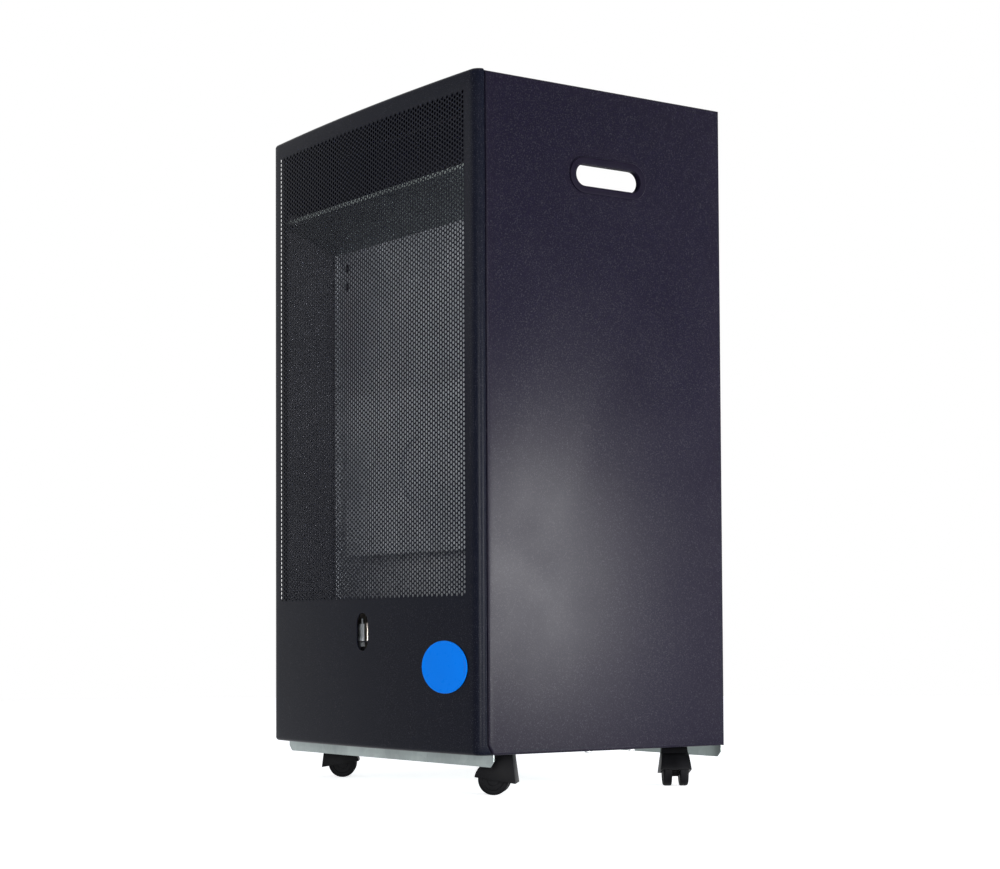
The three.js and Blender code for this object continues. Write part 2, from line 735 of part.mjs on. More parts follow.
function controlWell() {
  const x0 = wellX - wellWidth / 2;
  const x1 = wellX + wellWidth / 2;
  const y0 = wellY - wellLength / 2;
  const y1 = wellY + wellLength / 2;
  const rim = block(x0 - wellRim, x1 + wellRim, y0 - wellRim, y1 + wellRim, sideTop - sheet, sideTop);
  const tub = block(x0, x1, y0, y1, wellFloor - sheet, sideTop);
  const hollow = block(x0 + sheet, x1 - sheet, y0 + sheet, y1 - sheet, wellFloor, sideTop + margin);
  const spindleHole = rod(spindleRadius + spindleRoom, at(knobX, wellY, wellFloor - 2 * sheet),
    at(knobX, wellY, wellFloor + margin));
  const buttonHole = rod(igniterRadius + clear, at(buttonX, wellY, wellFloor - 2 * sheet),
    at(buttonX, wellY, wellFloor + margin));
  return cut(join([rim, tub]), [hollow, spindleHole, buttonHole]);
}

add('top_panel', topPanel(), powderCoat);
add('control_well', controlWell(), powderCoat);

// ---------------------------------------------------------------- gas valve, spindle and knob
const valveTop = wellFloor - sheet - clear;
const valveBottom = valveTop - valveHeight;
const knobBottom = wellFloor + knobGap;
const knobTop = knobBottom + knobHeight;
const spindleTop = knobTop - knobCover;
const spindleBottom = valveTop - spindleSeat;
const gasOutletX = knobX + outletOffset;
const pilotOutletX = knobX - outletOffset;
const pilotOutletY = wellY - outletOffset;
const inletY = wellY - valveLength / 2 - inletLength; // the hose nozzle points forward
const inletZ = valveTop - inletDrop;

function gasValve() {
  const body = block(knobX - valveWidth / 2, knobX + valveWidth / 2, wellY - valveLength / 2,
    wellY + valveLength / 2, valveBottom + valveOutlet, valveTop - valveNeck);
  const neck = rod(knobRadius / 2, at(knobX, wellY, valveTop - valveNeck - margin),
    at(knobX, wellY, valveTop));
  const outlet = rod(gasPipeRadius + unionWall, at(gasOutletX, wellY, valveBottom),
    at(gasOutletX, wellY, valveBottom + valveOutlet + margin), hexSides);
  const pilotOutlet = rod(pilotPipeRadius + unionWall, at(pilotOutletX, pilotOutletY, valveBottom),
    at(pilotOutletX, pilotOutletY, valveBottom + valveOutlet + margin), hexSides);
  const inlet = rod(nozzleRadius + unionWall, at(knobX, inletY, inletZ),
    at(knobX, inletY + inletLength + margin, inletZ), hexSides);
  const bore = rod(spindleRadius + clear, at(knobX, wellY, spindleBottom - knobTravel - clear),
    at(knobX, wellY, valveTop + margin));
  return cut(join([body, neck, outlet, pilotOutlet, inlet]), [bore]);
}

function controlKnob() {
  const profile = [
    [0, 0], [knobRadius, 0], [knobRadius, knobSkirt],
    [knobRadius - knobTaper / 2, knobSkirt + knobTaper / 2],
    [knobRadius - knobTaper, knobHeight - pointerRise], [knobRadius - 2 * knobTaper, knobHeight],
    [0, knobHeight],
  ];
  const body = turned(profile, at(knobX, wellY, knobBottom), Z, 32);
  const pointer = block(knobX - pointerWidth / 2, knobX + pointerWidth / 2,
    wellY - knobRadius + knobTaper / 2, wellY - spindleRadius, knobTop - 2 * pointerRise,
    knobTop + pointerRise);
  const bore = rod(spindleRadius + clear, at(knobX, wellY, knobBottom - margin),
    at(knobX, wellY, spindleTop + clear));
  return cut(join([body, pointer]), [bore]);
}

add('gas_valve', gasValve(), brass);
add('valve_spindle', rod(spindleRadius, at(knobX, wellY, spindleBottom), at(knobX, wellY, spindleTop)),
  stainless);
add('control_knob', controlKnob(), blackPlastic);

// ---------------------------------------------------------------- piezo igniter and its button
const buttonBottom = wellFloor - buttonSeat;
const igniterTop = wellFloor + igniterCollar;

function igniterBody() {
  const barrel = rod(igniterRadius, at(buttonX, wellY, igniterTop - igniterLength),
    at(buttonX, wellY, igniterTop));
  const flange = rod(igniterRadius + igniterFlange, at(buttonX, wellY, wellFloor + clear),
    at(buttonX, wellY, wellFloor + clear + igniterFlangeHeight));
  const bore = rod(buttonRadius + clear, at(buttonX, wellY, buttonBottom - buttonTravel - clear),
    at(buttonX, wellY, igniterTop + margin));
  return cut(join([barrel, flange]), [bore]);
}

add('igniter_body', igniterBody(), blackPlastic);
add('igniter_button', rod(buttonRadius, at(buttonX, wellY, buttonBottom),
  at(buttonX, wellY, buttonBottom + buttonHeight)), blackPlastic);

// ---------------------------------------------------------------- hose nozzle on the valve
function hoseNozzle() {
  const core = nozzleRadius - nozzleBarb;
  const profile = [
    [0, 0], [nozzleRadius + nozzleFlangeWall, 0], [nozzleRadius + nozzleFlangeWall, nozzleFlange],
    [core, nozzleFlange],
  ];
  const plain = nozzleFlange + nozzleNeck;
  const pitch = (nozzleLength - plain) / nozzleBarbs;
  for (let i = 0; i < nozzleBarbs; i += 1) {
    const start = plain + i * pitch;
    profile.push([core, start]);
    profile.push([nozzleRadius, start + nozzleBarb / 2]);
    profile.push([core, start + pitch]);
  }
  profile.push([0, nozzleLength]);
  return turned(profile, at(knobX, inletY - clear, inletZ), at(0, -1, 0), smallSides);
}

add('hose_nozzle', hoseNozzle(), brass);

// ---------------------------------------------------------------- firebox: sides, heat shield, partition
const linerBottom = trayFloor + clear;
const linerTop = deflectorFrontZ + linerRise;

function fireboxSide(side) {
  const sheetSide = sideBlock(side, linerX - sheet, linerX, behind(sheet + clear),
    behind(wallDepth + 2 * sheet + clear), linerBottom, linerTop);
  const rearLip = sideBlock(side, linerX - linerRearLip, linerX, behind(wallDepth + sheet + clear),
    behind(wallDepth + 2 * sheet + clear), linerBottom, linerTop);
  return join([sheetSide, rearLip]);
}

function heatShield() {
  const half = halfWidth - wallInset;
  const holeX = wallHoleInset - half;
  const wall = block(-half, half, behind(wallDepth), behind(wallDepth + sheet), wallBottom, wallTop);
  const lips = [-1, 1].map((side) => sideBlock(side, half - sheet, half, behind(wallDepth - wallLip),
    behind(wallDepth + sheet), wallBottom, wallTop - sheet - clear));
  const holes = wallHoleDrops.map((drop) => rod(wallHoleRadius,
    at(holeX, behind(wallDepth) - margin, wallTop - drop),
    at(holeX, behind(wallDepth + sheet) + margin, wallTop - drop), smallSides));
  return cut(join([wall, ...lips]), holes);
}

function bayPanel() {
  const half = innerX - clear;
  const top = sideTop - sheet - clear;
  const wall = block(-half, half, behind(bayPanelDepth), behind(bayPanelDepth + sheet), wallBottom, top);
  const lips = [-1, 1].map((side) => sideBlock(side, half - sheet, half, behind(bayPanelDepth),
    behind(bayPanelDepth + bayPanelLip), wallBottom, top));
  return join([wall, ...lips]);
}

add('firebox_side_left', fireboxSide(-1), darkSteel);
add('firebox_side_right', fireboxSide(1), darkSteel);
add('heat_shield', heatShield(), galvanised);
add('bay_panel', bayPanel(), galvanised);

// ---------------------------------------------------------------- deflector over the firebox
const deflectorHalf = linerX - sheet - clear;
const deflectorScrewX = halfWidth - deflectorScrewInset;
const deflectorRear = wallDepth - clear;
const deflectorSlope = (deflectorFrontZ - wallTop) / (deflectorRear - deflectorFrontDepth);
const deflectorZ = (depth) => deflectorFrontZ - (depth - deflectorFrontDepth) * deflectorSlope;

function deflector() {
  const profile = outline([
    [behind(deflectorFrontDepth), deflectorFrontZ - deflectorLip],
    [behind(deflectorFrontDepth + sheet), deflectorFrontZ - deflectorLip],
    [behind(deflectorFrontDepth + sheet), deflectorZ(deflectorFrontDepth + sheet) - sheet],
    [behind(deflectorRear), deflectorZ(deflectorRear) - sheet],
    [behind(deflectorRear), deflectorZ(deflectorRear)],
    [behind(deflectorFrontDepth), deflectorFrontZ],
  ]);
  const holes = [-1, 1].map((side) => rod(screwShank + clear,
    at(side * deflectorScrewX, behind(deflectorScrewDepth), deflectorFrontZ - deflectorScrewLength),
    at(side * deflectorScrewX, behind(deflectorScrewDepth), deflectorFrontZ + margin), boreSides));
  return cut(prism(profile, 2 * deflectorHalf, Y, Z, at(-deflectorHalf, 0, 0)), [
    ...holes,
    ...[-1, 1].map((side) => sideBlock(side, halfWidth - sideLip - clear, deflectorHalf + margin,
      behind(deflectorFrontDepth) - margin, behind(sheet + clear), wallTop,
      deflectorFrontZ + margin)),
  ]);
}

/** Pan-head screw: the head's seat at a point, the shank pointing along the direction. */
function screw(seat, direction, shankLength) {
  const profile = [
    [0, 0], [screwShank, 0], [screwShank, shankLength], [screwHead, shankLength],
    [screwHead, shankLength + screwHeadEdge],
    [screwHead - screwHeadRound, shankLength + screwHeadHeight],
    [0, shankLength + screwHeadHeight],
  ];
  const start = seat.clone().addScaledVector(direction, shankLength);
  return turned(profile, start, direction.clone().negate(), smallSides);
}

add('deflector', deflector(), galvanised);
for (const [name, side] of [['left', -1], ['right', 1]]) {
  const seat = at(side * deflectorScrewX, behind(deflectorScrewDepth), deflectorFrontZ + clear);
  add(`deflector_screw_${name}`, screw(seat, at(0, 0, -1), deflectorScrewLength), zincScrew);
}

// ---------------------------------------------------------------- flame plate with its round dish
function flamePlate() {
  const half = halfWidth - flamePlateInset;
  const middle = (flamePlateTop + flamePlateBottom) / 2;
  const front = behind(flamePlateDepth);
  const plate = block(-half, half, front, front + sheet, flamePlateBottom, flamePlateTop);
  const topFold = block(-half, half, front, behind(wallDepth - clear), flamePlateTop - sheet,
    flamePlateTop);
  const bottomLip = block(-half, half, front - flamePlateLip, front + sheet, flamePlateBottom,
    flamePlateBottom + sheet);
  const cup = rod(dishRadius + sheet, at(0, front + sheet / 2, middle),
    at(0, front + dishDepth + sheet, middle), wideSides);
  const dish = rod(dishRadius, at(0, front - margin, middle), at(0, front + dishDepth, middle),
    wideSides);
  return cut(join([plate, topFold, bottomLip, cup]), [dish]);
}

add('flame_plate', flamePlate(), galvanised);

// ---------------------------------------------------------------- burner and what feeds and holds it
const burnerFront = behind(burnerFrontDepth);
const burnerRear = burnerFront + burnerDepth;
const burnerMidY = (burnerFront + burnerRear) / 2;
const burnerMidZ = burnerZ + burnerHeight / 2;
const burnerEnd = halfWidth - burnerInset;
const burnerBracketX = burnerEnd - bracketInset;

function burner() {
  const shell = block(-burnerEnd, burnerEnd, burnerFront, burnerRear, burnerZ, burnerZ + burnerHeight);
  const hollow = block(-burnerEnd + sheet, burnerEnd - sheet, burnerFront + sheet, burnerRear - sheet,
    burnerZ + sheet, burnerZ + burnerHeight - sheet);
  const mouth = rod(mixerRadius + clear, at(burnerEnd - 2 * sheet, burnerMidY, burnerMidZ),
    at(burnerEnd + margin, burnerMidY, burnerMidZ));
  const ports = [];
  const pitch = 2 * (burnerEnd - portMargin) / burnerPorts;
  for (let i = 0; i < burnerPorts; i += 1) {
    const x = portMargin - burnerEnd + (i + 0.5) * pitch;
    ports.push(block(x - portWidth / 2, x + portWidth / 2, burnerFront + portInset,
      burnerRear - portInset, burnerZ + burnerHeight - 2 * sheet, burnerZ + burnerHeight + margin));
  }
  return cut(shell, [hollow, mouth, ...ports]);
}

const mixerStart = burnerEnd - sheet - clear;
const mixerEnd = mixerStart + mixerLength;
const injectorStart = mixerEnd + injectorGap;

function mixerTube() {
  const outer = [
    [mixerRadius, 0], [mixerRadius, mixerLength * mixerNarrow], [mixerThroat, mixerLength * mixerWaist],
    [mixerThroat, mixerLength * mixerWiden], [mixerBell, mixerLength],
  ];
  const inner = outer.map(([radius, height]) => [radius - sheet, height]).reverse();
  const profile = [inner.at(-1), ...outer, ...inner];
  return turned(profile, at(mixerStart, burnerMidY, burnerMidZ), X);
}

function injector() {
  const along = (length) => at(injectorStart + length, burnerMidY, burnerMidZ);
  const nose = rod(injectorRadius / 2, along(0), along(injectorNose), smallSides);
  const body = rod(injectorRadius, along(injectorNose - margin), along(injectorLength), smallSides);
  const collar = rod(injectorRadius + injectorHexWall, along(injectorShoulder),
    along(injectorShoulder + injectorHex), hexSides);
  return join([nose, body, collar]);
}

/** Folded bracket that stands on the tray and carries the burner. */
function burnerBracket(side) {
  const x0 = burnerBracketX - sheet / 2;
  const x1 = x0 + sheet;
  const top = burnerZ - clear;
  const web = sideBlock(side, x0, x1, burnerFront, burnerRear, linerBottom, top);
  const foot = sideBlock(side, x0 - bracketFoot, x1, burnerFront, burnerRear, linerBottom,
    linerBottom + sheet);
  const shelf = sideBlock(side, x0 - bracketFoot, x1, burnerFront, burnerRear, top - sheet, top);
  return join([web, foot, shelf]);
}

/** The right bracket's foot runs on to an upright that holds the injector behind the mixing tube. */
function injectorUpright() {
  const x0 = injectorStart + injectorShoulder - clear - sheet;
  const upright = block(x0, x0 + sheet, burnerFront, burnerRear, linerBottom,
    burnerMidZ + uprightRise);
  const foot = block(burnerBracketX, x0 + sheet, burnerFront, burnerRear, linerBottom,
    linerBottom + sheet);
  const hole = rod(injectorRadius + clear, at(x0 - margin, burnerMidY, burnerMidZ),
    at(x0 + sheet + margin, burnerMidY, burnerMidZ), smallSides);
  return cut(join([upright, foot]), [hole]);
}

add('burner', burner(), stainless);
add('burner_bracket_left', burnerBracket(-1), galvanised);
add('burner_bracket_right', join([burnerBracket(1), injectorUpright()]), galvanised);
add('mixing_tube', mixerTube(), stainless);
add('injector', injector(), brass);

// ---------------------------------------------------------------- pilot burner, electrode and probe
const pilotY = behind(pilotDepth);
const electrodeX = pilotX - pilotSpacing;
const thermocoupleX = pilotX + pilotSpacing;

/** Bracket that stands on the tray in front of the burner, with a shelf for the pilot parts. */
function pilotBracket() {
  const x0 = pilotX - pilotShelfWidth / 2;
  const x1 = pilotX + pilotShelfWidth / 2;
  const y0 = pilotY - pilotShelfDepth / 2;
  const y1 = pilotY + pilotShelfDepth / 2;
  const shelf = block(x0, x1, y0, y1, pilotZ - sheet, pilotZ);
  const post = block(x0, x1, y1 - sheet, y1, linerBottom, pilotZ);
  const foot = block(x0, x1, y0, y1, linerBottom, linerBottom + sheet);
  const holes = [
    [pilotX, pilotRadius - 1], [electrodeX, electrodeRadius], [thermocoupleX, thermocoupleRadius],
  ].map(([x, radius]) => rod(radius + clear, at(x, pilotY, pilotZ - 2 * sheet),
    at(x, pilotY, pilotZ + margin), smallSides));
  const window = block(electrodeX - pilotSpacing / 2, pilotX + pilotSpacing / 2, y1 - 2 * sheet,
    y1 + margin, linerBottom + sheet, linerBottom + postWindow);
  return cut(join([shelf, post, foot]), [...holes, window]);
}

function pilotBurner() {
  const stem = rod(pilotRadius - 1, at(pilotX, pilotY, pilotZ - pilotTail),
    at(pilotX, pilotY, pilotZ + clear + margin), smallSides);
  const head = rod(pilotRadius, at(pilotX, pilotY, pilotZ + clear),
    at(pilotX, pilotY, pilotZ + pilotHeight), smallSides);
  const hood = block(pilotX, pilotX + pilotRadius + pilotHoodReach, pilotY - pilotRadius / 2,
    pilotY + pilotRadius / 2, pilotZ + pilotHeight - pilotHoodHeight, pilotZ + pilotHeight);
  return join([stem, head, hood]);
}

function electrode() {
  const collar = rod(electrodeRadius + electrodeCollar, at(electrodeX, pilotY, pilotZ + clear),
    at(electrodeX, pilotY, pilotZ + collarHeight), smallSides);
  const body = rod(electrodeRadius, at(electrodeX, pilotY, pilotZ - electrodeTail),
    at(electrodeX, pilotY, pilotZ + electrodeHeight), smallSides);
  const tip = rod(electrodeTipRadius, at(electrodeX, pilotY, pilotZ + electrodeHeight - margin),
    at(electrodeX, pilotY, pilotZ + electrodeHeight + electrodeTip), pipeSides);
  return join([collar, body, tip]);
}

function thermocouple() {
  const probe = rod(thermocoupleRadius, at(thermocoupleX, pilotY, pilotZ - pilotTail),
    at(thermocoupleX, pilotY, pilotZ + thermocoupleHeight), boreSides);
  const nut = rod(thermocoupleRadius + thermocoupleNut, at(thermocoupleX, pilotY, pilotZ + clear),
    at(thermocoupleX, pilotY, pilotZ + nutHeight), hexSides);
  return join([probe, nut]);
}

add('pilot_bracket', pilotBracket(), galvanised);
add('pilot_burner', pilotBurner(), stainless);
add('spark_electrode', electrode(), ceramic);
add('thermocouple', thermocouple(), copper);

// ---------------------------------------------------------------- pipes and leads to the valve and igniter
const crossZ = trayFloor + crossHeight; // the pipes cross under the heat shield and the partition
const leadCrossZ = crossZ - leadDrop;
const riseY = behind(bayPanelDepth + riseGap); // and rise behind the partition
const leadRiseY = riseY + leadGap;
const gasRiseX = halfWidth - gasRiseInset;
const pilotRiseX = pilotRiseInset - halfWidth;
const leadRiseX = buttonX + leadRiseOffset;
const gasTurnZ = valveBottom - gasTurn; // heights at which they run back to the controls
const pilotTurnZ = valveBottom - pilotTurn;
const injectorEnd = injectorStart + injectorLength;
const igniterBottom = igniterTop - igniterLength;
const leadTurnZ = igniterBottom - leadTurn;

add('gas_pipe', pipe(gasPipeRadius, [
  at(injectorEnd + clear, burnerMidY, burnerMidZ),
  at(gasRiseX, burnerMidY, burnerMidZ),
  at(gasRiseX, burnerMidY, crossZ),
  at(gasRiseX, riseY, crossZ),
  at(gasRiseX, riseY, gasTurnZ),
  at(gasOutletX, riseY, gasTurnZ),
  at(gasOutletX, wellY, gasTurnZ),
  at(gasOutletX, wellY, valveBottom - clear),
]), copper);

add('pilot_pipe', pipe(pilotPipeRadius, [
  at(pilotX, pilotY, pilotZ - pilotTail - clear),
  at(pilotX, pilotY, crossZ),
  at(pilotX, riseY, crossZ),
  at(pilotRiseX, riseY, crossZ),
  at(pilotRiseX, riseY, pilotTurnZ),
  at(pilotRiseX, pilotOutletY, pilotTurnZ),
  at(pilotOutletX, pilotOutletY, pilotTurnZ),
  at(pilotOutletX, pilotOutletY, valveBottom - clear),
]), copper);

add('ignition_lead', pipe(leadRadius, [
  at(electrodeX, pilotY, pilotZ - electrodeTail - clear),
  at(electrodeX, pilotY, leadCrossZ),
  at(electrodeX, leadRiseY, leadCrossZ),
  at(leadRiseX, leadRiseY, leadCrossZ),
  at(leadRiseX, leadRiseY, leadTurnZ),
  at(leadRiseX, wellY, leadTurnZ),
  at(buttonX, wellY, leadTurnZ),
  at(buttonX, wellY, igniterBottom - clear),
]), blackPlastic);

// ---------------------------------------------------------------- rear flap with its hinge pins
const hingeY = rearY - hingeFromRear;

function rearFlap() {
  const half = flapHalf;
  const inner = hingeY - hingeTubeRadius;
  const outer = inner + sheet;
  const plate = block(-half, half, inner, outer, hingeZ, flapTop);
  const topFold = block(-half, half, outer - flapEdge, outer, flapTop - sheet, flapTop);
  const sideFolds = [-1, 1].map((side) => sideBlock(side, half - sheet, half, outer - flapEdge, outer,
    hingeZ + flapFoldStart, flapTop));
  const tube = rod(hingeTubeRadius, at(-half, hingeY, hingeZ), at(half, hingeY, hingeZ));
  const pinHalf = half + clear + sheet + pinReach;
  const pins = rod(hingeRodRadius, at(-pinHalf, hingeY, hingeZ), at(pinHalf, hingeY, hingeZ), smallSides);
  const grip = prism(stadium(gripLength, gripHeight), 2 * flapEdge, X, Z,
    at(0, rearY, flapTop - gripFromTop));
  return cut(join([plate, topFold, ...sideFolds, tube, pins]), [grip]);
}

add('rear_flap', rearFlap(), powderCoat);

// ---------------------------------------------------------------- screws under the side panels
for (const [name, side] of [['left', -1], ['right', 1]]) {
  sideScrewDepths.forEach((depth, i) => {
    const seat = at(side * (halfWidth - sideScrewInset), behind(depth), panelBottom - clear);
    add(`side_screw_${name}_${i === 0 ? 'front' : 'rear'}`, screw(seat, Z, sideScrewLength),
      zincScrew);
  });
}

// ---------------------------------------------------------------- castors
const axleZ = wheelRadius;
const plateTop = trayUnderside - clear;
const plateBottom = plateTop - plateThickness;
const hoodTop = plateBottom - clear;
const stemBottom = hoodTop - stemLength;
const wheelInner = wheelGap / 2;
const wheelOuter = wheelInner + wheelWidth;

/** Each castor is built about its swivel axis, the wheels trailing along +X, and then turned. */
function castorHood() {
  const endAngle = THREE.MathUtils.degToRad(skirtRearAngle);
  const shape = new THREE.Shape();
  shape.moveTo(-skirtFrontReach, skirtFrontZ);
  shape.lineTo(-bossFront, hoodTop);
  shape.lineTo(bossRear, hoodTop);
  shape.absarc(trail, axleZ, hoodRadius, THREE.MathUtils.degToRad(hoodTopAngle), endAngle,
    true);
  const side = prism(shape, 2 * hoodHalfWidth, X, Z, at(0, hoodHalfWidth, 0), { arcPieces: 10 });
  const taper = prism(outline([
    [-hoodHalfWidth, 0],
    [hoodHalfWidth, 0],
    [hoodHalfWidth, skirtFrontZ],
    [hoodTopHalfWidth, hoodTop],
    [-hoodTopHalfWidth, hoodTop],
    [-hoodHalfWidth, skirtFrontZ],
  ]), 4 * hoodRadius, Y, Z, at(-2 * hoodRadius, 0, 0));
  const wells = [-1, 1].flatMap((hand) => {
    const near = Math.min(hand * webHalf, hand * skirtInner);
    const far = Math.max(hand * webHalf, hand * skirtInner);
    return [
      rod(hoodWell, at(trail, near, axleZ), at(trail, far, axleZ), wideSides),
      block(trail - hoodWell, trail + hoodWell, near, far, 0, axleZ),
    ];
  });
  const boss = rod(axleRadius + bossWall, at(trail, -webHalf, axleZ), at(trail, webHalf, axleZ));
  const axleBore = rod(axleRadius + clear, at(trail, -webHalf - margin, axleZ),
    at(trail, webHalf + margin, axleZ));
  const stemBore = rod(stemRadius + clear, at(0, 0, stemBottom - clear), at(0, 0, hoodTop + margin));
  return cut(join([cut(side.intersect(taper), wells), boss]), [axleBore, stemBore]);
}

function castorPlate() {
  const half = plateSize / 2;
  const plate = block(-half, half, -half, half, plateBottom, plateTop);
  const stem = rod(stemRadius, at(0, 0, stemBottom), at(0, 0, plateTop - plateThickness / 2));
  return join([plate, stem]);
}

/** Wheel with a rounded tread and a dished outer face, on the side of the castor given by hand. */
function castorWheel(hand) {
  const bore = axleRadius + clear;
  const profile = [
    [bore, 0], [wheelRadius - wheelInnerEdge, 0], [wheelRadius, wheelInnerEdge],
    [wheelRadius, wheelWidth - wheelFillet], [wheelRadius - wheelFillet, wheelWidth],
    [wheelRadius - 2 * wheelFillet, wheelWidth - wheelDish], [bore, wheelWidth - wheelDish],
    [bore, 0],
  ];
  return turned(profile, at(trail, hand * wheelInner, axleZ), at(0, hand, 0));
}

// name, swivel axis on the floor plane, and the direction in which the wheels trail, in degrees from +X
const castors = [
  ['front_left', -castorX, castorFrontY, 56],
  ['front_right', castorX, castorFrontY, 228],
  ['rear_left', -castorX, castorRearY, 100],
  ['rear_right', castorX, castorRearY, -35],
];

for (const [name, x, y, angle] of castors) {
  const mount = new THREE.Group();
  mount.position.set(x, y, 0);
  add(`castor_plate_${name}`, castorPlate(), zincScrew, mount);
  const swivel = new THREE.Group();
  swivel.rotation.z = THREE.MathUtils.degToRad(angle);
  add(`castor_hood_${name}`, castorHood(), blackPlastic, swivel);
  const axleHalf = wheelOuter - axleInset;
  add(`castor_axle_${name}`, rod(axleRadius, at(trail, -axleHalf, axleZ), at(trail, axleHalf, axleZ)),
    zincScrew, swivel);
  add(`wheel_a_${name}`, castorWheel(1), blackPlastic, swivel);
  add(`wheel_b_${name}`, castorWheel(-1), blackPlastic, swivel);
  mount.add(swivel);
  heater.add(mount);
}

export default heater;
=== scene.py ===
"""A portable gas cabinet heater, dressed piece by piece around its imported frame.

Metres, +Z up, the bowed front faces -Y. Sizes that a sub-assembly doesn't read from the frame are
fields of its class.
"""

import logging
import math
from collections.abc import Callable, Iterable, Sequence
from dataclasses import dataclass
from enum import Enum
from functools import partial

import bmesh
import bpy
from mathutils import Matrix, Vector


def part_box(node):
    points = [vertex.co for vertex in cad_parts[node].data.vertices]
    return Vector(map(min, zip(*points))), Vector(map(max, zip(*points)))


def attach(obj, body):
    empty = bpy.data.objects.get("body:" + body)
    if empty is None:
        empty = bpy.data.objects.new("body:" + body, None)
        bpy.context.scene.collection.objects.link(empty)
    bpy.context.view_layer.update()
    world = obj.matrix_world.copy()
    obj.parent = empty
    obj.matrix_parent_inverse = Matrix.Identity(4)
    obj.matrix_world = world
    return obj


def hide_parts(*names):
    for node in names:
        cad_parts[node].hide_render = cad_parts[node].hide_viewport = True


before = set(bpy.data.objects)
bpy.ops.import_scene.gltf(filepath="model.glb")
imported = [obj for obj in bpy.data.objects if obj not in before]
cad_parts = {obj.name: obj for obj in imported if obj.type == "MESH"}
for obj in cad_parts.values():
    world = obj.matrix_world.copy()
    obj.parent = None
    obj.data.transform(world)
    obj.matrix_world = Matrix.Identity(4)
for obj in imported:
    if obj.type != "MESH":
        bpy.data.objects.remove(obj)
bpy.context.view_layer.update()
LOG = logging.getLogger("heater")

Piece = bpy.types.Object
Socket = bpy.types.NodeSocket
Point2 = tuple[float, float]
Point3 = tuple[float, float, float]
UP = Vector((0.0, 0.0, 1.0))
WHITE = (1.0, 1.0, 1.0, 1.0)
MM = 0.001
SEAM = 1e-6  # points of a CAD node that are closer than this are one
WELD = 2e-6  # the same for a finished mesh
FLAT = math.radians(1.0)  # CAD faces that bend by less than this are one
CREASE = 30.0  # an edge that bends by more degrees than this stays sharp
SHEET_CREASE = 15.0  # a flat sheet keeps its own shading right up to its softened edges
CHAMFER = (6.0 * MM, 10.0 * MM)  # depth and height of the side panels' cut-off lower front corners
CASTORS = ("front_left", "front_right", "rear_left", "rear_right")


class Side(Enum):
    """Which side of the cabinet a piece is on, with the sign of its X."""

    LEFT = -1
    RIGHT = 1

    @property
    def word(self) -> str:
        """The side's name as the nodes spell it."""
        return self.name.lower()


# ------------------------------------------------------------------ finishes


class NodeTree:
    """A node tree that is put together one step at a time."""

    def __init__(self, tree: bpy.types.NodeTree) -> None:
        """Takes the tree to build in."""
        self.tree = tree

    def node(self, kind: str, inputs: dict[str | int, object] | None = None,
             **settings: object) -> bpy.types.NodeOutputs:
        """Adds a node.

        Args:
            kind: The node's type.
            inputs: Input name or number to its value, or to the socket that feeds it.
            settings: Properties of the node to set.

        Returns:
            The new node's outputs.
        """
        made = self.tree.nodes.new(kind)
        for key, value in settings.items():
            setattr(made, key, value)
        for key, value in (inputs or {}).items():
            self.feed(made.inputs[key], value)
        return made.outputs

    def feed(self, target: Socket, value: object) -> None:
        """Leads a socket to an input, or sets the input to a plain value."""
        if isinstance(value, Socket):
            self.tree.links.new(value, target)
        else:
            target.default_value = value

    def math(self, operation: str, *values: Socket | float) -> Socket:
        """Adds a sum of a few values, each a number or a socket, and returns its socket."""
        return self.node("ShaderNodeMath", dict(enumerate(values)), operation=operation)["Value"]

    def seen_by_eye(self) -> Socket:
        """A socket that is 1 for rays of the camera, of a mirror image or through glass, else 0."""
        path = self.node("ShaderNodeLightPath")
        mirrored = self.math("MAXIMUM", path["Is Camera Ray"], path["Is Glossy Ray"])
        return self.math("MAXIMUM", mirrored, path["Is Transmission Ray"])


